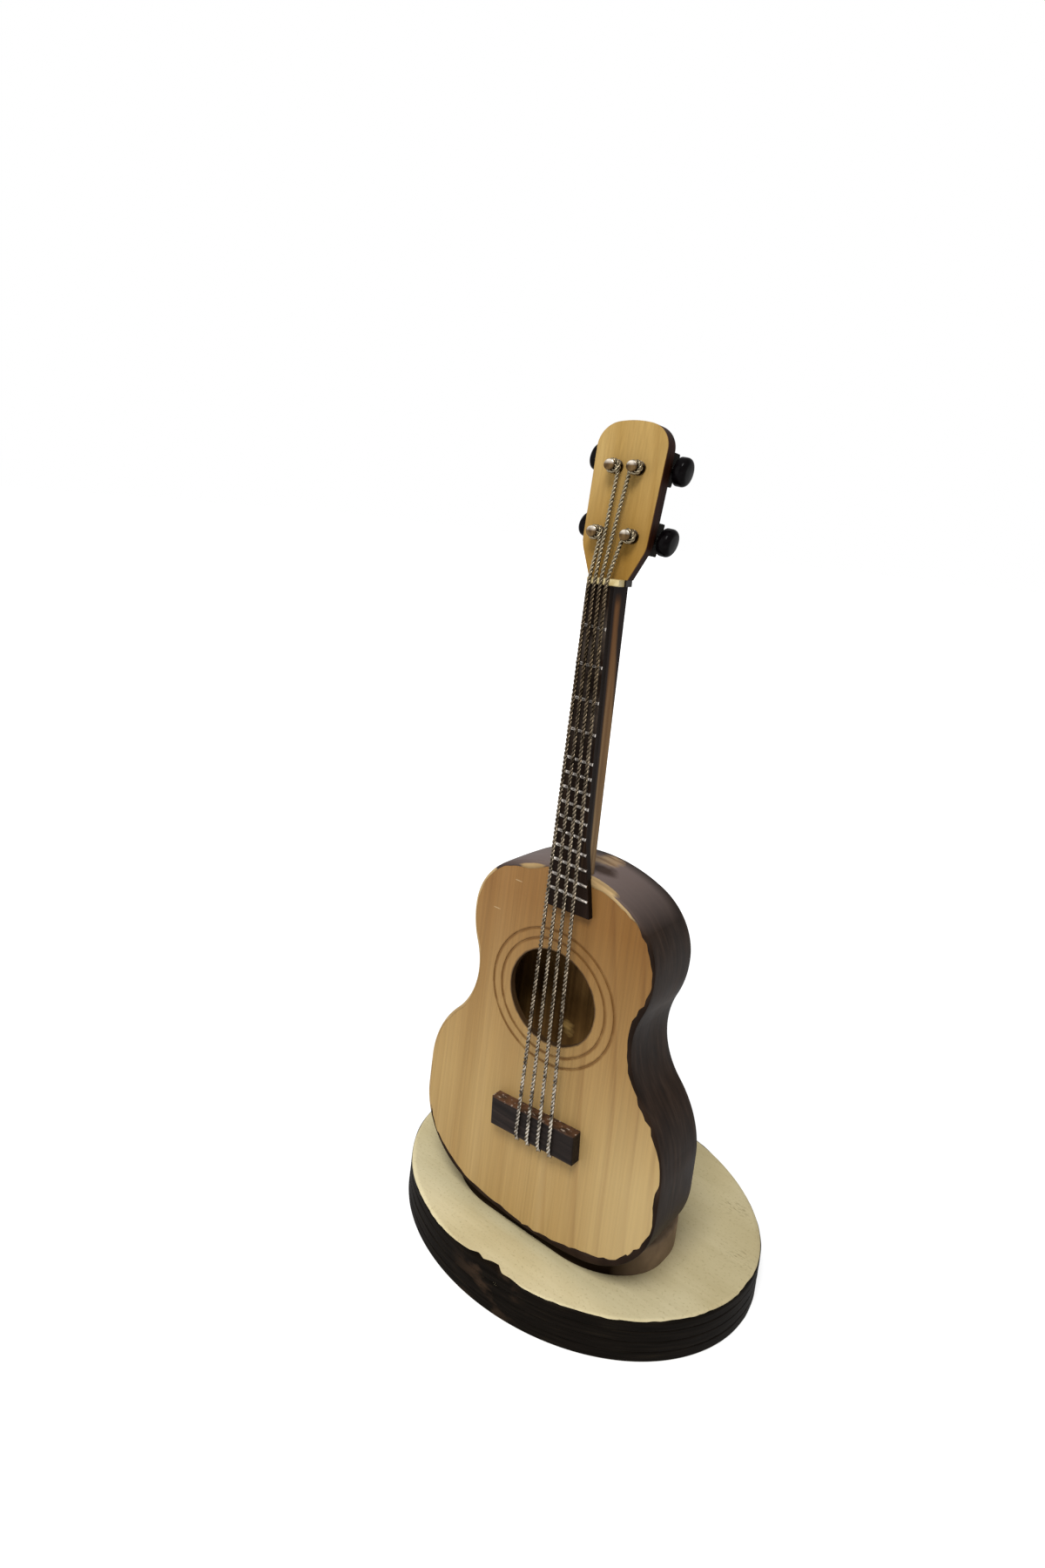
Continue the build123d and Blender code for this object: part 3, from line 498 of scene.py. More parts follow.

# %% [markdown]
# A brushed line is uneven in two ways: slow waves of the hand and small nicks of the bristles. Random
# heights at even knots, joined by straight pieces, give both, once with wide and once with close
# knots. The seed is fixed, so each run gives the same line. The paint is widest at the lower right and
# at the top left. By the shoulders it left a bare margin, which by the right shoulder also carries a
# painted highlight on the face's edge, and down the left it stops short of the face.

# %% Wavy line of the paint
# Places are in mm, across from the body's middle and up from its bottom. A margin or a spread is a
# middle and a width, and a gain or a wear is a factor.
SHOULDER_FROM, TOP_FROM, CORNER_TO, BOTTOM_TO = 100, 110, 16, 12
RIGHT_BARE_LIT_MARGIN, RIGHT_BARE_LIT_FROM, RIGHT_BARE_LIT_GAIN = (15, 9), 4, 1.3
LEFT_MARGIN, NECK_BARE_LIT_MARGIN = (-13, 5), (11, 6)
CLEAN_ACROSS, CLEAN_LOW, CLEAN_HIGH = (-24, -28), (16, 24), (118, 113)
CREEP, CREEP_LEAN, LEAN_REACH = 0.75, 0.25, 10
TOP_LEFT_MORE, TOP_LEFT_SPREAD = 0.9, (-14, 9)
RIGHT_SIDE_MORE, RIGHT_SIDE_SPREAD = 0.5, (20, 12)
CORNER_MORE, CORNER_SPREAD = 1.4, (25, 8)
BOTTOM_MORE = 0.5
RIGHT_WEAR = 1.6
LEAST_CREEP, MARGIN_CREEP = 0.4, 1.1


def ragged(along, length, spacing, height, seed):
    """Uneven closed line: random heights at even knots, with straight pieces between them."""
    count = max(3, round(length / spacing))
    knot = np.random.default_rng(seed).uniform(-height, height, count)
    return np.interp(along, np.linspace(0, length, count + 1), np.append(knot, knot[0]))


def near(values, middle, width):
    """Soft bump: e to the minus ((value - middle) / width) squared, so 1 at the middle."""
    return np.exp(-((values - middle) / width) ** 2)


def fade(values, start, end):
    """Share that grows evenly from 0 at the start to 1 at the end: (value - start) / (end - start)."""
    return np.clip((values - start) / (end - start), 0, 1)


def bare_and_lit_margin():
    """Where a wide margin is left by the paint, 0 to 1: bare wood with a painted highlight by the right
    shoulder, and bare wood at the top left.
    """
    across, up = outline[:, 0], outline[:, 1]
    right = near(across, *RIGHT_BARE_LIT_MARGIN) * (across > RIGHT_BARE_LIT_FROM) * (up > SHOULDER_FROM)
    left = near(across, *LEFT_MARGIN) * (up > TOP_FROM)
    return np.clip(RIGHT_BARE_LIT_GAIN * right + left, 0, 1)


def clean_edge():
    """Where the paint stops short of the face, 0 to 1: down the left side to the lower corner."""
    across, up = outline[:, 0], outline[:, 1]
    return fade(across, *CLEAN_ACROSS) * fade(up, *CLEAN_LOW) * fade(up, *CLEAN_HIGH)


def face_creep():
    """How far the paint runs onto the face, in mm: a width, plus soft bumps, plus two ragged lines."""
    across, up = outline[:, 0], outline[:, 1]
    width = CREEP + CREEP_LEAN * np.tanh(across / LEAN_REACH)
    top_left = TOP_LEFT_MORE * near(across, *TOP_LEFT_SPREAD) * (up > SHOULDER_FROM)
    right_side = RIGHT_SIDE_MORE * near(up, *RIGHT_SIDE_SPREAD) * (across > 0)
    right_corner = CORNER_MORE * near(across, *CORNER_SPREAD) * (up < CORNER_TO)
    bottom = BOTTOM_MORE * (up < BOTTOM_TO)
    creep = width + (top_left + right_side) + (right_corner + bottom)
    patchy = np.where(across > 0, RIGHT_WEAR, 1.0)
    creep += patchy * ragged(outline_along, outline_length, spacing=8.0, height=0.45, seed=3)
    creep += patchy**2 * ragged(outline_along, outline_length, spacing=2.2, height=0.2, seed=8)
    return np.maximum(creep, LEAST_CREEP) + MARGIN_CREEP * bare_and_lit_margin()


print("paint runs", face_creep().min().round(2), "to", face_creep().max().round(2), "mm onto the face")

# %% [markdown]
# The skin's section starts on the face, turns round the edge, runs down the side in faint waves, laps onto
# the back and closes inside the wood, where nobody sees it. Carried round the outline, it is one closed
# surface. Each point also holds a value, which tells the finish where bare wood shows instead of paint,
# and where a highlight is painted on the face's edge.

# %% Section of the side paint
BODY_DEPTH = 24.0
FACE_ORIGIN = (1.6, -40.5, 17.5)
SKIN_ROUND, SKIN_PROUD, SKIN_STEP = 0.45, 0.15, 0.1
FACE_LIFT, LINE_LIFT, LINE_WIDTH = 0.12, 0.07, 0.05
BACK_LAP, SKIN_INSET, SKIN_DEEP = 3.0, 1.2, 1.0
WAVE_HEIGHT, WAVE_COUNT, WAVE_START = 0.16, 9, 1
TURN_ROWS, SIDE_ROWS, SIDE_SHARES = 6, 14, (0.06, 0.94)
FACE_ROWS, CLEAN_ROWS, EDGE_ROWS = 3, 7, 10


def skin_section(creep):
    """Rows of the skin as distance outwards and forwards: face, edge, side, back, and inside the wood."""
    quarter = np.radians(np.linspace(90, 0, TURN_ROWS))
    centre = SKIN_PROUD - SKIN_ROUND
    waves = WAVE_HEIGHT * np.sin(outline_along / outline_length * 2 * np.pi * WAVE_COUNT + WAVE_START)
    waves = waves + ragged(outline_along, outline_length, spacing=14, height=0.12, seed=5)
    rows = [(-creep, -SKIN_STEP), (-creep + LINE_WIDTH, LINE_LIFT), ((-creep + centre) / 2, FACE_LIFT)]
    rows += [(centre + SKIN_ROUND * np.cos(turn), centre + SKIN_ROUND * np.sin(turn)) for turn in quarter]
    for share in np.linspace(*SIDE_SHARES, SIDE_ROWS):
        rows.append((SKIN_PROUD + np.abs(waves) * np.sin(np.pi * share) ** 0.5, -BODY_DEPTH * share))
    rear = -BODY_DEPTH - centre
    for turn in quarter[::-1]:
        rows.append((centre + SKIN_ROUND * np.cos(turn), rear - SKIN_ROUND * np.sin(turn)))
    rows += [(-BACK_LAP, -BODY_DEPTH - SKIN_STEP), (-BACK_LAP - SKIN_STEP, -BODY_DEPTH + SKIN_STEP)]
    rows += [(-SKIN_INSET, -BODY_DEPTH + SKIN_DEEP), (-SKIN_INSET, -SKIN_DEEP)]
    return np.array([np.broadcast_arrays(*row, outline_along)[:2] for row in rows])


def side_skin_points():
    """The section carried round: outline plus normal times outward, set on the face's frame."""
    section = skin_section(face_creep())
    outward, forward = section[:, 0], section[:, 1]
    flat = outline[None] + outline_normal[None] * outward[..., None]
    return np.stack([flat[..., 0], -forward, flat[..., 1]], axis=-1) + FACE_ORIGIN


def side_skin_marks(shape):
    """Marks of the skin's points: bare wood on its first rows by the shoulders and down the left, with a
    painted highlight on the edge by the right shoulder and wider by the neck.
    """
    marks = np.zeros(shape)
    marks[:FACE_ROWS] = bare_and_lit_margin()
    marks[:CLEAN_ROWS] = np.maximum(marks[:CLEAN_ROWS], clean_edge())
    bare_and_lit_by_neck = near(outline[:, 0], *NECK_BARE_LIT_MARGIN) * (outline[:, 1] > TOP_FROM)
    marks[:EDGE_ROWS] = np.maximum(marks[:EDGE_ROWS], bare_and_lit_by_neck)
    return marks


skin_points = side_skin_points()
skin_marks = side_skin_marks(skin_points.shape[:2])
print("side paint has", skin_points.shape[:2], "rows and columns")

# %% [markdown]
# Inside, seen through the sound hole, the ribs and blocks are bare softwood that has gone brown. Each could
# have a finish of its own, but they are cut from one kind of wood and stand in the dark, so one serves
# them all.

# %% Inside of the body
def inner_colour(tree):
    """Colour and fibres of bare softwood that has gone brown."""
    fibres = streaks(tree, (2.0, 2.0, 50), detail=4)
    colour = add(tree, "ValToRGB", [fibres], stops=[(0.3, "#5c4122"), (0.7, "#8a673a")])
    dirt = streaks(tree, (12, 12, 12), detail=2, shift=4)
    dirt = add(tree, "ValToRGB", [dirt], stops=[(0.3, "#9c9284"), (0.65, "#ffffff")])
    return add(tree, "MixRGB", [0.8, colour, dirt], blend_type="MULTIPLY"), fibres


def inner_wood():
    """Bare softwood in the dark: brown, dry and a little fuzzy."""
    material, tree = start_finish("bare inner softwood")
    colour, fibres = inner_colour(tree)
    make_surface(tree, colour, rough=0.85, gloss=0.15, relief=fibres, depth=0.2)
    return material


INNER_WOOD = inner_wood()
for inside in ("rib_left", "rib_right", "tail_block", "neck_block"):
    finish_node(inside, INNER_WOOD)
print("inside is bare wood")

# %% [markdown]
# The paint is a dark brown satin lacquer. Brush marks run round the body, and noise stretched that way
# gives them. A pale painted sheen lies on the top, where the light falls. By the neck's root a tan patch was
# left bare beside a brown painted shadow, each placed by the distance from one point. The skin's marks bring
# out the cream margin by the face, which is bare wood and, by the right shoulder and the neck, a painted
# highlight on the edge. All of this could be painted on an image, but distances in millimetres need no
# unwrapping.

# %% Side paint
LACQUER_ROUGH, LACQUER_GLOSS = (0.4, 0.62), 0.04
PAINTED_SHEEN_HEIGHTS, PAINTED_SHEEN_DEPTHS = (128, 139), (-17, -22)
BARE_PATCH, BARE_REACH = (5.4, -23.0, 139.2), (9.6, 7.0)
PAINTED_SHADOW_SPOT, PAINTED_SHADOW_REACH = (8.2, -30.6, 139.0), (8.4, 5.4)


def spot(tree, point, reach, noise, stray, share):
    """A share near a point and none past its reach (outer, inner), with an edge that noise moves."""
    away = add(tree, "Math", [noise, stray * MM, away_from(tree, point)], operation="MULTIPLY_ADD")
    return add(tree, "MapRange", [away, *metres(reach), 0, share])


def lacquer_colour(tree, stroke):
    """Streaks and clouds of dark paint, with brush strokes that measure (x, y, z) in mm."""
    brush = streaks(tree, stroke)
    cloud = streaks(tree, (16, 10, 16), shift=4)
    colour = add(tree, "ValToRGB", [brush], stops=[(0.3, "#20160f"), (0.55, "#2c2018"), (0.75, "#392c23")])
    patchy = add(tree, "ValToRGB", [cloud], stops=[(0.4, "#8f8580"), (0.7, "#ffffff")])
    return add(tree, "MixRGB", [0.6, colour, patchy], blend_type="MULTIPLY"), brush, cloud


def side_lacquer():
    """Brushed dark lacquer: satin brown with a painted sheen on top, bare wood and a painted shadow by the
    neck, and a pale margin of bare wood and painted highlight.
    """
    material, tree = start_finish("brushed dark lacquer")
    colour, brush, cloud = lacquer_colour(tree, (9, 1.6, 9))
    # Painted sheen: the top of the side is lighter where the light falls on it.
    lighter_top = add(tree, "MapRange", [axis(tree, "Z"), *metres(PAINTED_SHEEN_HEIGHTS), 0, 0.85])
    front = add(tree, "MapRange", [axis(tree, "Y"), *metres(PAINTED_SHEEN_DEPTHS)])
    lighter_top = add(tree, "Math", [lighter_top, front], operation="MULTIPLY")
    colour = add(tree, "MixRGB", [lighter_top, colour, "#73645f"])
    tan = add(tree, "ValToRGB", [brush], stops=[(0.35, "#7d6244"), (0.65, "#ad9270")])
    patch_edge_noise = streaks(tree, (4, 4, 4), shift=7)
    patch = spot(tree, BARE_PATCH, BARE_REACH, patch_edge_noise, stray=8, share=0.9)
    colour = add(tree, "MixRGB", [patch, colour, tan])
    # Painted shadow: a brown spot in the gap beside the neck's root.
    shadow_edge_noise = streaks(tree, (5, 5, 5), shift=3)
    painted_shadow = spot(tree, PAINTED_SHADOW_SPOT, PAINTED_SHADOW_REACH, shadow_edge_noise, stray=6, share=0.92)
    colour = add(tree, "MixRGB", [painted_shadow, colour, "#2a180a"])
    # Cream margin: bare wood, and by the right shoulder and the neck a painted highlight on the face's edge.
    uneven = streaks(tree, (2, 2, 2), detail=2, shift=1)
    mark = add(tree, "Attribute", out="Fac", attribute_name="mark")
    mark = add(tree, "Math", [uneven, 0.4, mark], operation="MULTIPLY_ADD")
    cream = add(tree, "ValToRGB", [brush], stops=[(0.35, "#9b8058"), (0.65, "#b2976c")])
    colour = add(tree, "MixRGB", [add(tree, "MapRange", [mark, 0.55, 0.75]), colour, cream])
    rough = add(tree, "MapRange", [cloud, 0, 1, *LACQUER_ROUGH])
    make_surface(tree, colour, rough, gloss=LACQUER_GLOSS, relief=brush, depth=0.15)
    return material


LACQUER = side_lacquer()
print("side lacquer has", len(LACQUER.node_tree.nodes), "nodes")

# %% [markdown]
# A new piece is a grid of points: two parameters run over it, and numpy works out all points at once. The
# faces only say which neighbours join, so one function serves every grid. Where a row shrinks to a
# point, its doubles are merged, and then all faces are turned outwards. The first piece made in this
# way is the side paint.

# %% Meshes from grids
WELD_DISTANCE = 0.001


def grid_faces(rows, columns, closed_rows=False):
    """Quads of a grid numbered row by row; the columns close to a ring, and the rows too if asked."""
    starts = np.arange(rows if closed_rows else rows - 1)
    row, column = np.meshgrid(starts, np.arange(columns), indexing="ij")
    next_row = (row + 1) % rows
    next_column = (column + 1) % columns
    corners = [(row, column), (row, next_column), (next_row, next_column), (next_row, column)]
    return np.stack([up * columns + across for up, across in corners], axis=-1).reshape(-1, 4)


def make_piece(name, points, faces, material, body, marks=None):
    """Mesh object from points in mm, welded at its poles, facing outwards and riding on a body."""
    mesh = bpy.data.meshes.new(name)
    mesh.from_pydata((points.reshape(-1, 3) * MM).tolist(), [], faces.tolist())
    if marks is not None:
        mesh.attributes.new("mark", "FLOAT", "POINT").data.foreach_set("value", marks.ravel())
    work = bmesh.new()
    work.from_mesh(mesh)
    bmesh.ops.remove_doubles(work, verts=work.verts, dist=WELD_DISTANCE * MM)
    bmesh.ops.recalc_face_normals(work, faces=work.faces)
    work.to_mesh(mesh)
    work.free()
    mesh.shade_smooth()
    mesh.materials.append(material)
    piece = bpy.data.objects.new(name, mesh)
    bpy.context.scene.collection.objects.link(piece)
    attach(piece, body)
    print(name, len(mesh.polygons), "faces")
    return piece


skin_faces = grid_faces(*skin_points.shape[:2], closed_rows=True)
make_piece("side_paint_skin", skin_points, skin_faces, LACQUER, "guitar", skin_marks)

# %% [markdown]
# The back carries the same lacquer, brushed up and down. Its inner face shows through the sound hole as
# bare wood with one pale patch, a painted patch of light where light through the hole would fall. Both
# sides belong to one solid, so the depth of a point decides which of the two finishes it gets.

# %% Back plate
BACK_INNER_FACE, INNER_FADE = -17.5, 0.1
PAINTED_LIGHT_PATCH, LIGHT_PATCH_REACH = (-3.0, BACK_INNER_FACE, 76.5), (6.0, 4.2)


def painted_back():
    """The back plate: the same satin lacquer outside, and dry bare wood with a painted patch of light
    towards the inside.
    """
    material, tree = start_finish("lacquered back with bare inside")
    colour, brush, cloud = lacquer_colour(tree, (1.6, 9, 45))
    # Painted light: a pale patch on the inside where light through the sound hole would fall.
    patch_edge_noise = streaks(tree, (6, 6, 2.5), detail=2, shift=3)
    painted_light = spot(tree, PAINTED_LIGHT_PATCH, LIGHT_PATCH_REACH, patch_edge_noise, stray=6, share=1)
    wood = add(tree, "MixRGB", [painted_light, inner_colour(tree)[0], "#c9a362"])
    depths = metres((BACK_INNER_FACE, BACK_INNER_FACE - INNER_FADE))
    inside = add(tree, "MapRange", [axis(tree, "Y"), *depths])
    colour = add(tree, "MixRGB", [inside, colour, wood])
    rough = add(tree, "MapRange", [cloud, 0, 1, *LACQUER_ROUGH])
    make_surface(tree, colour, rough, gloss=LACQUER_GLOSS, relief=brush, depth=0.15)
    return material


finish_node("back_plate", painted_back())
print("back is lacquered")

# %% [markdown]
# The stand is a round plywood board. Its top is bare, pale and a little dusty, and painted darker and more
# brown towards the back as shade.
# The solid already has the right shape, so it only needs a finish: faint long fibres, fine pores and
# two scuffs near the right rim.

# %% Bare top of the stand
PAINTED_SHADE_DEPTHS = (-55, 20)
SCUFFS = ((54.0, 9.0, 13.5), (43.0, 31.0, 13.5))
SCUFF_REACH = (6, 1)


def bare_plywood():
    """Sanded birch plywood: a dry, pale cream with hardly any gloss."""
    material, tree = start_finish("sanded birch plywood")
    fibres = streaks(tree, (40, 2.5, 2.5), detail=4)
    pores = streaks(tree, (0.9, 0.9, 0.9), detail=2, shift=3)
    cloud = streaks(tree, (26, 26, 26), detail=2, shift=6)
    colour = add(tree, "ValToRGB", [cloud], stops=[(0.3, "#c6b88f"), (0.5, "#cfc29a"), (0.7, "#d6caa4")])
    grain = add(tree, "ValToRGB", [fibres], stops=[(0.3, "#dcd8cc"), (0.6, "#ffffff")])
    colour = add(tree, "MixRGB", [0.25, colour, grain], blend_type="MULTIPLY")
    # Painted shade: the top turns darker and more brown towards the back, where less light falls.
    painted_shade = add(tree, "MapRange", [axis(tree, "Y"), *metres(PAINTED_SHADE_DEPTHS), 0, 0.3])
    colour = add(tree, "MixRGB", [painted_shade, colour, "#a08e62"])
    dust = add(tree, "ValToRGB", [pores], stops=[(0.28, "#b9b09a"), (0.42, "#ffffff")])
    colour = add(tree, "MixRGB", [0.35, colour, dust], blend_type="MULTIPLY")
    torn = add(tree, "MapRange", [streaks(tree, (2.2, 0.7, 2.0), shift=1), 0.56, 0.68])
    for scuff in SCUFFS:
        close = add(tree, "MapRange", [away_from(tree, scuff), *metres(SCUFF_REACH)])
        close = add(tree, "Math", [close, torn], operation="MULTIPLY")
        colour = add(tree, "MixRGB", [close, colour, "#8a7c58"])
    make_surface(tree, colour, rough=0.78, gloss=0.2, relief=pores, depth=0.1)
    return material


finish_node("base_disc", bare_plywood())
print("stand board is plywood")

# %% [markdown]
# The board's edge was painted almost black. A shader could darken it below some height, but the paint has
# thickness and its line is bitten, so it is a second skin, carried round a circle. Its section follows
# the board's rounded rim down to the foot and dips into the grooves between the layers. Where the skin
# starts decides the paint line: on the rounding in most places, lower at the left front and the right
# rear, and bitten into the top at the front.

# %% Shape of the painted edge
BOARD_RADIUS, BOARD_THICKNESS = 60.0, 13.5
BOARD_ROUND = 2 * np.pi * BOARD_RADIUS
RIM_ROUND, FOOT_ROUND = 1.4, 0.6
PLY_LAYERS, LAYER_HALF, GROOVE_DEPTH, GROOVE_SPREAD = 4, 0.4, 0.35, 0.14
EDGE_PROUD, EDGE_FOOT = 0.12, 0.15
# The paint line in mm past the start of the rounding, and its spreads as a middle and a width in degrees.
LINE_START, LEFT_FRONT_DROP, RIGHT_REAR_DROP, BITE_RISE = 0.9, 1.3, 1.0, 2.6
BITTEN_SPREAD, LEFT_FRONT_SPREAD, RIGHT_REAR_SPREAD = (-88, 9), (-138, 22), (40, 30)
EDGE_SECTION_POINTS, EDGE_COLUMNS = 90, 760
EDGE_INNER_ROWS = ((1.2, 0.6), (1.2, 9.0), (2.5, 11.5))


def rim_line(angle, along):
    """Start of the paint, as a length along the section from where the rim's rounding begins."""
    bites = near(angle, *BITTEN_SPREAD)
    left_front = LEFT_FRONT_DROP * near(angle, *LEFT_FRONT_SPREAD)
    right_rear = RIGHT_REAR_DROP * near(angle, *RIGHT_REAR_SPREAD)
    line = LINE_START + left_front + right_rear - BITE_RISE * bites
    waves = ragged(along, BOARD_ROUND, spacing=9, height=0.25, seed=11)
    nicks = ragged(along, BOARD_ROUND, spacing=2.0, height=0.12, seed=12)
    teeth = ragged(along, BOARD_ROUND, spacing=2.6, height=1.3, seed=13)
    return line + (waves + nicks) + bites * teeth


def edge_section(line):
    """Radius and height by the length along the section: flat top, quarter round, straight, rounded foot."""
    quarter = RIM_ROUND * np.pi / 2
    end = quarter + BOARD_THICKNESS - RIM_ROUND - EDGE_FOOT
    length = line + np.linspace(0, 1, EDGE_SECTION_POINTS)[:, None] * (end - line)
    turn = np.clip(length / RIM_ROUND, 0, np.pi / 2)
    bend = np.full(length.shape, RIM_ROUND + EDGE_PROUD)
    bend[0] = RIM_ROUND - SKIN_STEP
    radius = BOARD_RADIUS - RIM_ROUND + np.minimum(length, 0) + bend * np.sin(turn)
    height = BOARD_THICKNESS - RIM_ROUND - np.maximum(length - quarter, 0) + bend * np.cos(turn)
    dip = np.maximum(FOOT_ROUND - height, 0)
    return radius - FOOT_ROUND + np.sqrt(FOOT_ROUND**2 - dip**2), height


def edge_skin_points():
    """The section carried round, radius times (cosine, sine), grooved by layer and closed in the wood."""
    angle = np.linspace(-180, 180, EDGE_COLUMNS, endpoint=False)
    along = (angle + 180) / 360 * BOARD_ROUND
    radius, height = edge_section(rim_line(angle, along))
    for layer in range(PLY_LAYERS):
        inside = np.abs(height / BOARD_THICKNESS * PLY_LAYERS - layer - 0.5) < LAYER_HALF
        radius = radius + inside * ragged(along, BOARD_ROUND, spacing=5, height=0.07, seed=20 + layer)
        if layer:
            groove = BOARD_THICKNESS * layer / PLY_LAYERS
            radius = radius - GROOVE_DEPTH * near(height, groove, GROOVE_SPREAD)
    for inset, level in EDGE_INNER_ROWS:
        radius = np.vstack([radius, np.full(EDGE_COLUMNS, BOARD_RADIUS - inset)])
        height = np.vstack([height, np.full(EDGE_COLUMNS, level)])
    turn = np.radians(angle)
    return np.stack([radius * np.cos(turn), radius * np.sin(turn), height], axis=-1)


edge_points = edge_skin_points()
print("edge paint has", edge_points.shape[:2], "rows and columns")

# %% [markdown]
# The edge's paint went on thick and dried matt, in strokes along the layers. At the front it is rubbed
# brown. Both could be painted on by hand, but noise does it in real sizes: flat noise gives the strokes,
# and a distance from one point, broken up by clouds, gives the rub.

# %% Painted edge of the stand
RUBBED_SPOT, RUBBED_REACH = (3.0, -60.0, 8.0), (15, 4)


def edge_paint():
    """Thick black-brown brush paint: matt, streaked along the layers, rubbed brown at the front."""
    material, tree = start_finish("black brown brush paint")
    brush = streaks(tree, (14, 14, 0.8), detail=4)
    cloud = streaks(tree, (9, 9, 5), shift=2)
    colour = add(tree, "ValToRGB", [brush], stops=[(0.3, "#0b0805"), (0.55, "#120e0a"), (0.75, "#1d1811")])
    close = add(tree, "MapRange", [away_from(tree, RUBBED_SPOT), *metres(RUBBED_REACH)])
    rubbed = add(tree, "Math", [close, add(tree, "MapRange", [cloud, 0.5, 0.62])], operation="MULTIPLY")
    colour = add(tree, "MixRGB", [rubbed, colour, "#32261c"])
    make_surface(tree, colour, rough=0.65, gloss=0.03, relief=brush, depth=0.3)
    return material


EDGE_PAINT = edge_paint()
edge_faces = grid_faces(*edge_points.shape[:2], closed_rows=True)
make_piece("stand_edge_skin", edge_points, edge_faces, EDGE_PAINT, "guitar")

# %% [markdown]
# The cradle that holds the body is stained dark brown. Its right end is painted lighter brown as a highlight
# where it catches the light. A gradient along X, broken up by noise, gives that.

# %% Cradle
HIGHLIGHT_ACROSS = (29, 39)


def cradle_stain():
    """Satin brown stain: dark, with a painted highlight in lighter brown at the right end."""
    material, tree = start_finish("satin brown stain")
    brush = streaks(tree, (14, 14, 1.2), detail=4)
    cloud = streaks(tree, (7, 7, 7), shift=5)
    colour = add(tree, "ValToRGB", [brush], stops=[(0.3, "#0f0804"), (0.55, "#170f08"), (0.75, "#251a11")])
    # Painted highlight: the right end is lighter brown where it catches the light.
    right = add(tree, "MapRange", [axis(tree, "X"), *metres(HIGHLIGHT_ACROSS)])
    patchy = add(tree, "MapRange", [cloud, 0.2, 0.6, 0.55, 1])
    rubbed = add(tree, "Math", [right, patchy], operation="MULTIPLY")
    colour = add(tree, "MixRGB", [rubbed, colour, "#917b63"])
    rough = add(tree, "MapRange", [cloud, 0, 1, 0.42, 0.66])
    make_surface(tree, colour, rough, gloss=0.02, relief=brush, depth=0.2)
    return material


finish_node("cradle_block", cradle_stain())
print("cradle is stained")

# %% [markdown]
# The neck is a brown stained stick. Its back was painted dark together with the head, thinner and
# thinner towards the body, so its side shows a lighter stripe that widens downwards. Along the fretboard
# a dark line is painted shadow under the board's edge, and the foot under the nut is dark too. The stick
# is one solid, so depth behind the fretboard and height decide what shows: each is compared with a limit.

# %% Neck
NECK_FRONT = -40.5
DEEPER_HEIGHTS = (150, 225)
PAINT_HEIGHTS, PAINT_DEPTHS, PAINT_FADE, PAINT_STRAY = (165, 215), (4.4, 1.3), (-0.3, 0.5), 1.2
BOARD_SHADOW_DEPTHS = (1.1, 0.5)
FOOT_HEIGHTS = (222, 226)


def neck_stain():
    """Brown stain with a dark back: a satin stripe of wood between two dark edges."""
    material, tree = start_finish("brown stained hardwood")
    fibres = streaks(tree, (1.0, 1.0, 60), detail=4)
    colour = add(tree, "ValToRGB", [fibres], stops=[(0.3, "#5f4930"), (0.5, "#70583a"), (0.7, "#80694a")])
    height, depth = axis(tree, "Z"), axis(tree, "Y")
    deeper = add(tree, "MapRange", [height, *metres(DEEPER_HEIGHTS), 0, 0.85])
    colour = add(tree, "MixRGB", [deeper, colour, "#573519"])
    limits = metres(NECK_FRONT + behind for behind in PAINT_DEPTHS)
    limit = add(tree, "MapRange", [height, *metres(PAINT_HEIGHTS), *limits])
    uneven = streaks(tree, (4, 4, 14), shift=2)
    limit = add(tree, "Math", [uneven, PAINT_STRAY * MM, limit], operation="MULTIPLY_ADD")
    past = add(tree, "Math", [depth, limit], operation="SUBTRACT")
    back = add(tree, "MapRange", [past, *metres(PAINT_FADE)])
    # Painted shadow: a dark line along the fretboard's edge.
    board_shadow = add(tree, "MapRange", [depth, *metres(NECK_FRONT + behind for behind in BOARD_SHADOW_DEPTHS)])
    foot = add(tree, "MapRange", [height, *metres(FOOT_HEIGHTS)])
    for dark in (back, board_shadow, foot):
        colour = add(tree, "MixRGB", [dark, colour, "#150c08"])
    make_surface(tree, colour, rough=0.5, gloss=0.15, relief=fibres, depth=0.1)
    return material


finish_node("neck", neck_stain())
print("neck is stained")

# %% [markdown]
# The fretboard is a dark brown strip, grey along its first frets, with near-black sides. The frets
# are bright wire and the nut is cream plastic, a little yellowed. The solids have their shapes, so all
# three only get finishes. Bare metal takes its looks from what it mirrors, so its finish is little more
# than a colour and a roughness that a film of dirt changes.

# %% Fretboard, frets and nut
GREY_PATCH_HEIGHTS = ((176, 200), (222, 215))
BOARD_SIDE_DEPTHS = (-2.25, -2.0)
WIRE_SPOTS = (1.2, 1.2, 2.5)
WIRE_DULL, WIRE_BRIGHT = 0.42, 0.2


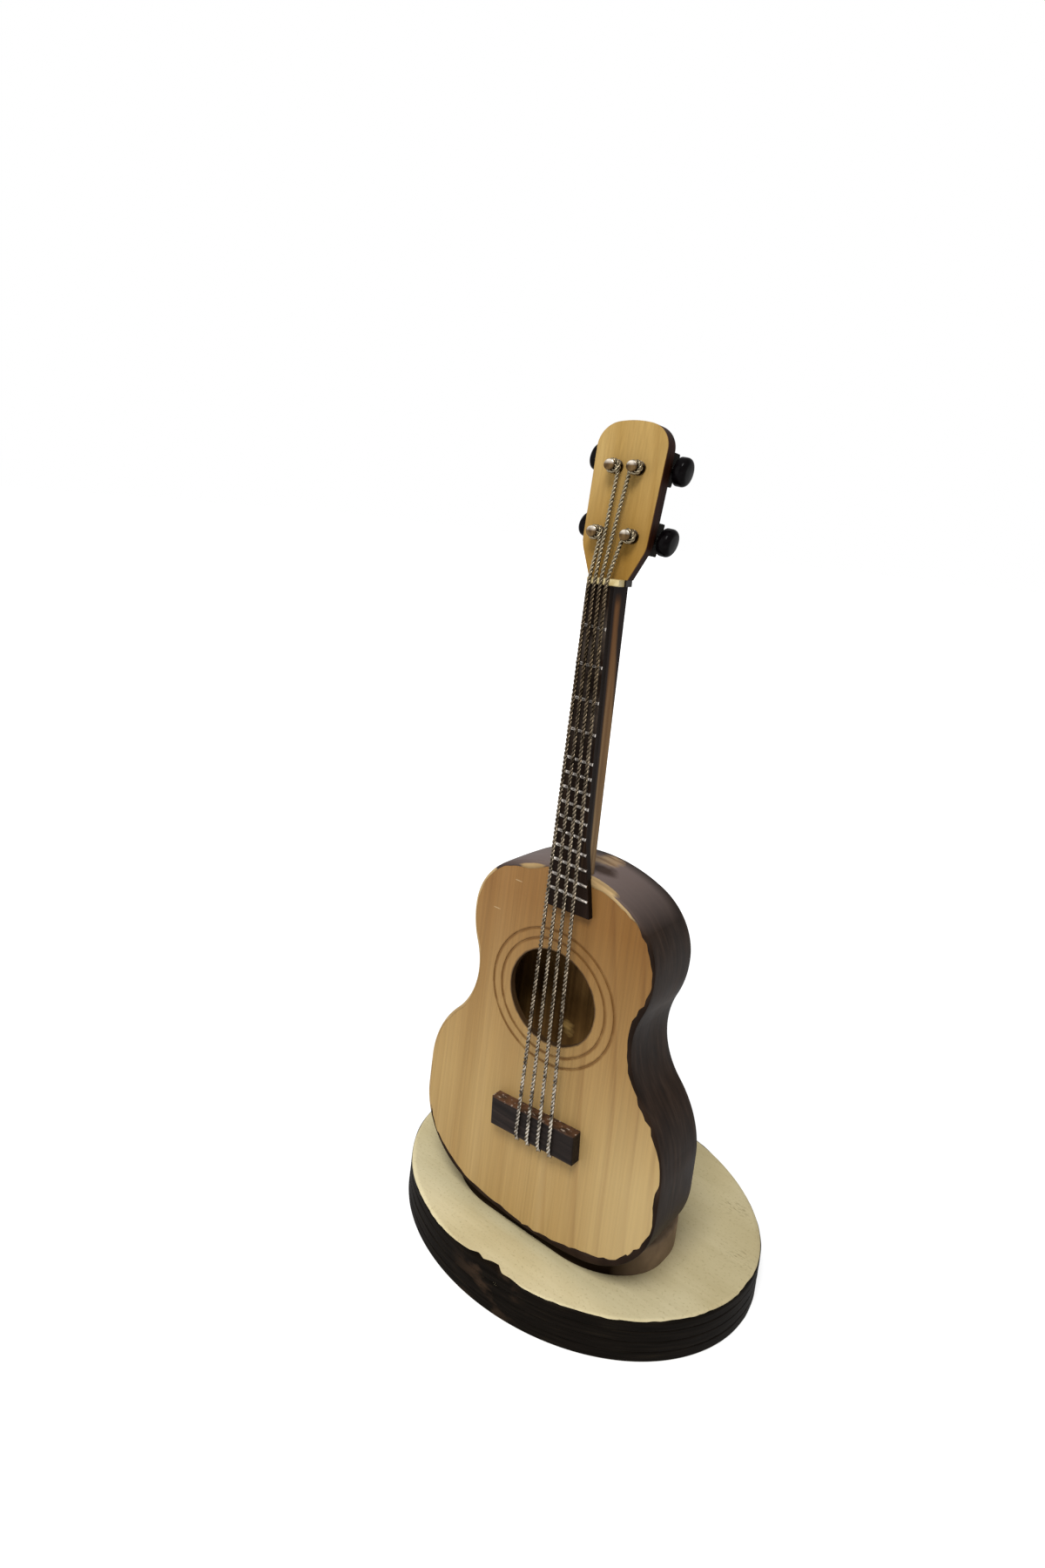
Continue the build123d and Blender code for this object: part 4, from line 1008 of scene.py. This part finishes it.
def board_stain():
    """Dark stained strip: near black with brown fibres and a grey patch at the top."""
    material, tree = start_finish("dark stained strip")
    fibres = streaks(tree, (0.8, 0.8, 35), detail=4)
    cloud = streaks(tree, (5, 5, 12), shift=3)
    colour = add(tree, "ValToRGB", [fibres], stops=[(0.3, "#150d09"), (0.6, "#221710"), (0.75, "#34271a")])
    height = axis(tree, "Z")
    lighter_top = add(tree, "MapRange", [cloud, 0.38, 0.6, 0, 0.75])
    for heights in GREY_PATCH_HEIGHTS:
        in_grey_patch = add(tree, "MapRange", [height, *metres(heights)])
        lighter_top = add(tree, "Math", [lighter_top, in_grey_patch], operation="MULTIPLY")
    colour = add(tree, "MixRGB", [lighter_top, colour, "#574d45"])
    depths = metres(NECK_FRONT + behind for behind in BOARD_SIDE_DEPTHS)
    side = add(tree, "MapRange", [axis(tree, "Y"), *depths])
    colour = add(tree, "MixRGB", [side, colour, "#130b06"])
    rough = add(tree, "MapRange", [cloud, 0, 1, 0.45, 0.7])
    make_surface(tree, colour, rough, gloss=0.05, relief=fibres, depth=0.15)
    return material


def make_metal(tree, colour, film, dull=WIRE_DULL):
    """Join a colour and a film of dirt into bare metal, which is duller where the film is."""
    rough = add(tree, "MapRange", [film, 0, 1, dull, WIRE_BRIGHT])
    inputs = {"Base Color": colour, "Metallic": 1.0, "Roughness": rough}
    add(tree, "OutputMaterial", {"Surface": add(tree, "BsdfPrincipled", inputs)})


def bright_wire(name, pale, dull):
    """Drawn wire: a bright metal with a dull film here and there."""
    material, tree = start_finish(name)
    film = streaks(tree, WIRE_SPOTS)
    make_metal(tree, add(tree, "ValToRGB", [film], stops=[(0.32, dull), (0.6, pale)]), film)
    return material


def nut_plastic():
    """Cast cream plastic, yellowed in spots, with a soft gloss."""
    material, tree = start_finish("yellowed cream plastic")
    cloud = streaks(tree, (2.5, 2.5, 2.5))
    colour = add(tree, "ValToRGB", [cloud], stops=[(0.35, "#ab9763"), (0.65, "#c3b386")])
    make_surface(tree, colour, rough=0.45, gloss=0.25, relief=cloud, depth=0.1)
    return material


finish_node("fretboard", board_stain())
finish_node("frets", bright_wire("nickel silver fret wire", "#cfc8c0", "#7d746b"))
finish_node("nut", nut_plastic())
print("fretboard, frets and nut are done")

# %% [markdown]
# The head is pine like the soundboard, deeper towards the nut, with its edge and back painted dark. It
# leans back, so plain depth along Y would cut the paint line askew. The paint is placed by the depth
# behind the head's own face instead: the dot product of the place with the face's direction.

# %% Head
HEAD_ORIGIN = (1.889, -40.5, 229.773)
HEAD_OUT = (0.00123, -0.99692, 0.07845)
HEAD_UP = (0.01566, 0.07846, 0.99679)
HEAD_DEEPER_HEIGHTS = (266, 236)
RED_LINE_DEPTHS, HEAD_PAINT_DEPTHS, HEAD_PAINT_STRAY = (-0.45, -0.6), (-0.65, -1.05), -0.5


def head_pine():
    """Varnished pine face with a dark painted edge that starts in an uneven, reddish line."""
    material, tree = start_finish("varnished pine with painted edge")
    colour, fibres = pine_colour(tree, "#b3965f", "#ab8c54", "#a18148", "#886633")
    deeper = add(tree, "MapRange", [axis(tree, "Z"), *metres(HEAD_DEEPER_HEIGHTS), 0, 0.68])
    colour = add(tree, "MixRGB", [deeper, colour, "#815b1a"])
    place = add(tree, "TexCoord", out="Object")
    depth = add(tree, "VectorMath", [place, HEAD_OUT], out="Value", operation="DOT_PRODUCT")
    front = float(np.dot(HEAD_ORIGIN, HEAD_OUT)) * MM
    depth = add(tree, "Math", [depth, front], operation="SUBTRACT")
    uneven = streaks(tree, (3, 3, 4), shift=6)
    depth = add(tree, "Math", [uneven, HEAD_PAINT_STRAY * MM, depth], operation="MULTIPLY_ADD")
    line = add(tree, "MapRange", [depth, *metres(RED_LINE_DEPTHS)])
    colour = add(tree, "MixRGB", [line, colour, "#5a3319"])
    paint = add(tree, "ValToRGB", [fibres], stops=[(0.35, "#160804"), (0.65, "#2a130a")])
    painted = add(tree, "MapRange", [depth, *metres(HEAD_PAINT_DEPTHS)])
    colour = add(tree, "MixRGB", [painted, colour, paint])
    make_surface(tree, colour, rough=0.55, gloss=0.03, relief=fibres, depth=0.1)
    return material


finish_node("headstock", head_pine())
print("head is pine")

# %% [markdown]
# The bridge is a dark stained block. Its upper side is reddish brown, partly rubbed by the strings and
# partly painted highlight where the light falls, with a few pale specks. It sits a little askew, so
# height along the bridge, measured by a dot product again, tells the upper side from the front.

# %% Bridge
BRIDGE_ORIGIN = (2.8, -40.5, 53.866)
BRIDGE_UP = (-0.06976, 0.0, 0.99756)
BRIDGE_HALF = 4.7
UPPER_SIDE_DROPS = (0.5, 0.1)


def bridge_stain():
    """Near-black stain over wood, with a reddish upper side that is partly rubbed and partly painted
    highlight.
    """
    material, tree = start_finish("black stained block")
    fibres = streaks(tree, (22, 1.2, 1.2), detail=4)
    cloud = streaks(tree, (3.5, 3.5, 3.5), shift=2)
    colour = add(tree, "ValToRGB", [fibres], stops=[(0.3, "#120d0b"), (0.6, "#211a17"), (0.78, "#352b27")])
    place = add(tree, "TexCoord", out="Object")
    level = add(tree, "VectorMath", [place, BRIDGE_UP], out="Value", operation="DOT_PRODUCT")
    top = float(np.dot(BRIDGE_ORIGIN, BRIDGE_UP)) + BRIDGE_HALF
    # Upper side: reddish brown, partly rubbed and partly painted highlight where the light falls.
    upper = add(tree, "MapRange", [level, *metres(top - drop for drop in UPPER_SIDE_DROPS)])
    patchy = add(tree, "MapRange", [cloud, 0.3, 0.6])
    specks = add(tree, "MapRange", [streaks(tree, (1.4, 1.0, 1.0), detail=2, shift=6), 0.61, 0.69])
    for share, bare in ((patchy, "#573c2a"), (specks, "#948579")):
        rubbed = add(tree, "Math", [upper, share], operation="MULTIPLY")
        colour = add(tree, "MixRGB", [rubbed, colour, bare])
    rough = add(tree, "MapRange", [cloud, 0, 1, 0.4, 0.65])
    make_surface(tree, colour, rough, gloss=0.1, relief=fibres, depth=0.15)
    return material


finish_node("bridge", bridge_stain())
print("bridge is stained")

# %% [markdown]
# Each string is two thin wires twisted together, which gives it its beaded glitter. A solid can't hold
# that well, and a bump on a round wire has no beads at its outline, so the strings are new pieces. A
# smooth spline runs from the soundboard over the bridge and the nut to the post and twice round it. Two
# helices wind about that line, and each is the centre of a round tube.

# %% Line of a string
STRING_DIAMETER = 1.3
POST_RADIUS = 1.1
WINDING_LOW, WINDING_TURNS, WINDING_RISE = 1.75, 2, 1.3
POINTS_PER_TURN, SPLINE_STEPS = 12, 16
STRAIGHT_FROM = 6 * STRING_DIAMETER
STRING_ROUTES = (
    ((-1.605, -36.8, 48.045), (-1.605, -45.9, 48.045), (-2.040, -44.1, 228.694), (-3.312, -39.480, 242.816)),
    ((2.386, -36.8, 48.324), (2.386, -45.9, 48.324), (-0.141, -44.1, 228.732), (-1.199, -37.911, 262.723)),
    ((6.376, -36.8, 48.603), (6.376, -45.9, 48.603), (1.759, -44.1, 228.770), (6.010, -37.911, 262.610)),
    ((10.366, -36.8, 48.882), (10.366, -45.9, 48.882), (3.659, -44.1, 228.808), (7.497, -39.480, 242.646)),
)


def toward(start, goal, distance):
    """Point at a distance from start on the way to goal."""
    return start + (goal - start) / np.linalg.norm(goal - start) * distance


def string_route(tail, bend, nut, post):
    """Control points: soundboard, bridge edge, nut, then turns about the post's axis and into it."""
    tail, bend, nut, post = (np.array(point) for point in (tail, bend, nut, post))
    out, up = np.array(HEAD_OUT), np.array(HEAD_UP)
    across = np.cross(up, out) * np.sign(nut[0] - post[0])
    angle = np.linspace(0, 2 * np.pi * WINDING_TURNS, POINTS_PER_TURN * WINDING_TURNS + 1)[:, None]
    rise = WINDING_LOW + WINDING_RISE * angle / angle[-1]
    ring = across * np.cos(angle) + up * np.sin(angle)
    turns = post + (POST_RADIUS + STRING_DIAMETER / 2) * ring + out * rise
    over_bridge = [tail, toward(bend, tail, STRAIGHT_FROM / 2), bend, toward(bend, nut, STRAIGHT_FROM)]
    over_nut = [toward(nut, bend, STRAIGHT_FROM), nut, toward(nut, turns[0], STRAIGHT_FROM)]
    return np.vstack([*over_bridge, *over_nut, turns, post + out * rise[-1]])


def smooth_line(points):
    """Points read from a spline of order 3 with these control points."""
    curve = bpy.data.curves.new("route", "CURVE")
    curve.dimensions = "3D"
    curve.resolution_u = SPLINE_STEPS
    spline = curve.splines.new("NURBS")
    spline.points.add(len(points) - 1)
    spline.points.foreach_set("co", np.c_[points * MM, np.ones(len(points))].ravel())
    spline.order_u = 3
    spline.use_endpoint_u = True
    holder = bpy.data.objects.new("route", curve)
    mesh = bpy.data.meshes.new_from_object(holder)
    line = np.empty(3 * len(mesh.vertices))
    mesh.vertices.foreach_get("co", line)
    bpy.data.objects.remove(holder)
    bpy.data.curves.remove(curve)
    bpy.data.meshes.remove(mesh)
    return line.reshape(-1, 3) / MM


string_lines = [smooth_line(string_route(*route)) for route in STRING_ROUTES]
print("points per string", [len(line) for line in string_lines])

# %% [markdown]
# The real twist is about one turn every two millimetres. It is drawn a little coarser here, so that the
# beads still show at the size of the picture. Each strand is a tube: at every step along the line, a
# small ring of points lies about the helix. The wire is drawn darker and darker towards the nut,
# and past it a little lighter again.

# %% Twisted strings
TWIST_LENGTH, TWIST_STEPS, TUBE_SIDES = 2.8, 11, 8
STRAND_RADIUS = STRING_DIAMETER / 4
STRAND_SWELL = 1.04
LEANING = (0.7071, -0.7071, 0.0)
STRING_DARKENING = (((60, 90), "#c2bbb0"), ((120, 200), "#a89f92"))
HEAD_PART_HEIGHTS = (226, 233)
STRING_DULL = 0.45


def frame_along(line):
    """Two unit directions square to a line, kept steady by one leaning direction."""
    run = np.gradient(line, axis=0)
    run /= np.linalg.norm(run, axis=1, keepdims=True)
    side = np.cross(run, LEANING)
    side /= np.linalg.norm(side, axis=1, keepdims=True)
    return side, np.cross(run, side)


def circle_about(line, radius, angle):
    """Points at a radius from a line: cosine along one square direction, sine along the other."""
    side, up = frame_along(line)
    return line + radius * (side * np.cos(angle) + up * np.sin(angle))


def strand_points(line, phase):
    """Rings about a helix that turns once per twist length, with rings of no size at both ends."""
    along = np.append(0, np.cumsum(np.linalg.norm(np.diff(line, axis=0), axis=1)))
    step = np.linspace(0, along[-1], int(along[-1] / TWIST_LENGTH * TWIST_STEPS))
    even = np.stack([np.interp(step, along, line[:, side]) for side in range(3)], axis=1)
    twist = 2 * np.pi * step[:, None] / TWIST_LENGTH + phase
    centre = circle_about(even, STRAND_RADIUS, twist)
    radius = np.full((len(step), 1), STRAND_RADIUS * STRAND_SWELL)
    radius[[0, -1]] = 0
    turn = np.linspace(0, 2 * np.pi, TUBE_SIDES, endpoint=False)
    return np.stack([circle_about(centre, radius, angle) for angle in turn], axis=1)


def string_wire():
    """Twisted steel, bright over the body and darker towards the nut."""
    material, tree = start_finish("twisted steel wire")
    film = streaks(tree, WIRE_SPOTS)
    colour = add(tree, "ValToRGB", [film], stops=[(0.34, "#463f37"), (0.58, "#b0a89c")])
    height = axis(tree, "Z")
    for heights, dull in STRING_DARKENING:
        share = add(tree, "MapRange", [height, *metres(heights)])
        colour = add(tree, "MixRGB", [share, colour, dull], blend_type="MULTIPLY")
    lighter = add(tree, "MapRange", [height, *metres(HEAD_PART_HEIGHTS), 0, 0.5])
    colour = add(tree, "MixRGB", [lighter, colour, "#a0957c"])
    make_metal(tree, colour, film, STRING_DULL)
    return material


STRING_WIRE = string_wire()
for number, line in enumerate(string_lines, 1):
    strands = [strand_points(line, phase) for phase in (0, np.pi)]
    faces = grid_faces(*strands[0].shape[:2])
    both = np.concatenate([faces, faces + strands[0].shape[0] * TUBE_SIDES])
    wire = make_piece(f"wire_{number}", np.stack(strands), both, STRING_WIRE, "guitar")
    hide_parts(f"string_{number}")

# %% [markdown]
# The tuners are black plastic knobs on steel pins, held by small painted blocks behind the head. A moulded
# knob has no sharp edge. Its solid could be bevelled, but an oval whose size changes along the pin gives
# every rounding at once: hub, rounded shoulder, straight side, larger rounding and a slightly domed
# end. Each knob rides on a body of its own, whose joint gives the place and direction of the pin.

# %% Knobs
KNOB_TALL, KNOB_WIDE, KNOB_LENGTH = 4.4, 3.8, 3.8
HUB_RADIUS, HUB_START, HUB_LENGTH = 2.2, 0.3, 0.6
INNER_ROUND, OUTER_ROUND, END_DOME = 0.8, 1.7, 0.12
DOME_TALL, DOME_WIDE, DOME_SHARE = 1.3, 1.0, 0.8
KNOB_COLUMNS, ROUND_STEPS = 72, 9
ROW_UP = (0.12009, 0.07803, 0.98969)
KNOB_REST_TURN = {"upper_left": 15, "upper_right": 0, "lower_left": 50, "lower_right": -25}


def knob_profile():
    """Height along the pin and how far the oval is drawn in: two quarter rounds, by cosine and sine."""
    turn = np.linspace(0, np.pi / 2, ROUND_STEPS)
    start = HUB_START + HUB_LENGTH
    end = start + KNOB_LENGTH
    inner = np.stack([start + INNER_ROUND * (1 - np.cos(turn)), INNER_ROUND * (1 - np.sin(turn))], axis=1)
    outer = np.stack([end - OUTER_ROUND * (1 - np.sin(turn)), OUTER_ROUND * (1 - np.cos(turn))], axis=1)
    return np.vstack([inner, outer])


def knob_points(tuner):
    """Ovals (tall times cosine, wide times sine) of changing size along the pin, turned to their rest."""
    rows = knob_profile()
    tall = np.r_[0, HUB_RADIUS, HUB_RADIUS, KNOB_TALL - rows[:, 1], DOME_TALL, 0]
    wide = np.r_[0, HUB_RADIUS, HUB_RADIUS, KNOB_WIDE - rows[:, 1], DOME_WIDE, 0]
    end = rows[-1, 0]
    dome = [end + END_DOME * DOME_SHARE, end + END_DOME]
    height = np.r_[HUB_START, HUB_START, rows[0, 0], rows[:, 0], dome]
    joint = next(row for row in frame["joints"] if row["name"] == "turn_" + tuner)
    origin, out = np.array(joint["pos_m"]) / MM, np.array(joint["axis"])
    up = np.array(ROW_UP)
    side = np.cross(out, up)
    angle = np.linspace(0, 2 * np.pi, KNOB_COLUMNS, endpoint=False)
    rest = np.radians(KNOB_REST_TURN[tuner])
    first = tall[:, None] * np.cos(angle)
    second = wide[:, None] * np.sin(angle)
    along_up = first * np.cos(rest) - second * np.sin(rest)
    along_side = first * np.sin(rest) + second * np.cos(rest)
    return origin + along_up[..., None] * up + along_side[..., None] * side + height[:, None, None] * out


def knob_plastic():
    """Moulded black plastic: deep black and smooth, with a faint sheen and a few fine rubs."""
    material, tree = start_finish("glossy black plastic")
    rub = streaks(tree, (1.5, 1.5, 1.5), detail=4)
    colour = add(tree, "ValToRGB", [rub], stops=[(0.4, "#050304"), (0.75, "#0d0a0b")])
    rough = add(tree, "MapRange", [rub, 0.35, 0.75, 0.1, 0.24])
    make_surface(tree, colour, rough, gloss=0.03, relief=rub, depth=0.02)
    return material


KNOB_PLASTIC = knob_plastic()
for tuner in KNOB_REST_TURN:
    points = knob_points(tuner)
    faces = grid_faces(*points.shape[:2])
    knob = make_piece("knob_" + tuner, points, faces, KNOB_PLASTIC, "tuner_" + tuner)
    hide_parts("tuner_knob_" + tuner)

# %% [markdown]
# What is left is small: polished posts, plain steel pins and screws, and the painted blocks that hold the
# pins. The posts are painted bright on their upper side as a highlight, and brown below as shade.
# Polished metal needs little more than a low roughness and something white to mirror, so only this
# painted light and shade is drawn, by the height in each post's own box.

# %% Posts, pins, screws and blocks
POST_HIGHLIGHT_SHARES = (0.6, 0.85)


def post_steel(tuner):
    """Polished steel, painted brown below as shade and bright above as a highlight."""
    material, tree = start_finish("post steel with painted light " + tuner)
    film = streaks(tree, WIRE_SPOTS)
    low, high = (corner[2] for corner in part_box("string_post_" + tuner))
    # Painted light and shade: bright steel on the upper side as a highlight, brown below as shade.
    heights = [low + share * (high - low) for share in POST_HIGHLIGHT_SHARES]
    upper = add(tree, "MapRange", [axis(tree, "Z"), *heights])
    steel = add(tree, "ValToRGB", [film], stops=[(0.32, "#857d72"), (0.6, "#b9b1a5")])
    brown = add(tree, "ValToRGB", [film], stops=[(0.32, "#2e2114"), (0.6, "#54422a")])
    make_metal(tree, add(tree, "MixRGB", [upper, brown, steel]), film)
    return material


PIN_STEEL = bright_wire("plain pin steel", "#8a8680", "#4f4a44")
for tuner in KNOB_REST_TURN:
    finish_node("string_post_" + tuner, post_steel(tuner))
    finish_node("tuner_shaft_" + tuner, PIN_STEEL)
    finish_node("tuner_block_" + tuner, EDGE_PAINT)
finish_node("stand_screws", PIN_STEEL)
print("small metal is done")
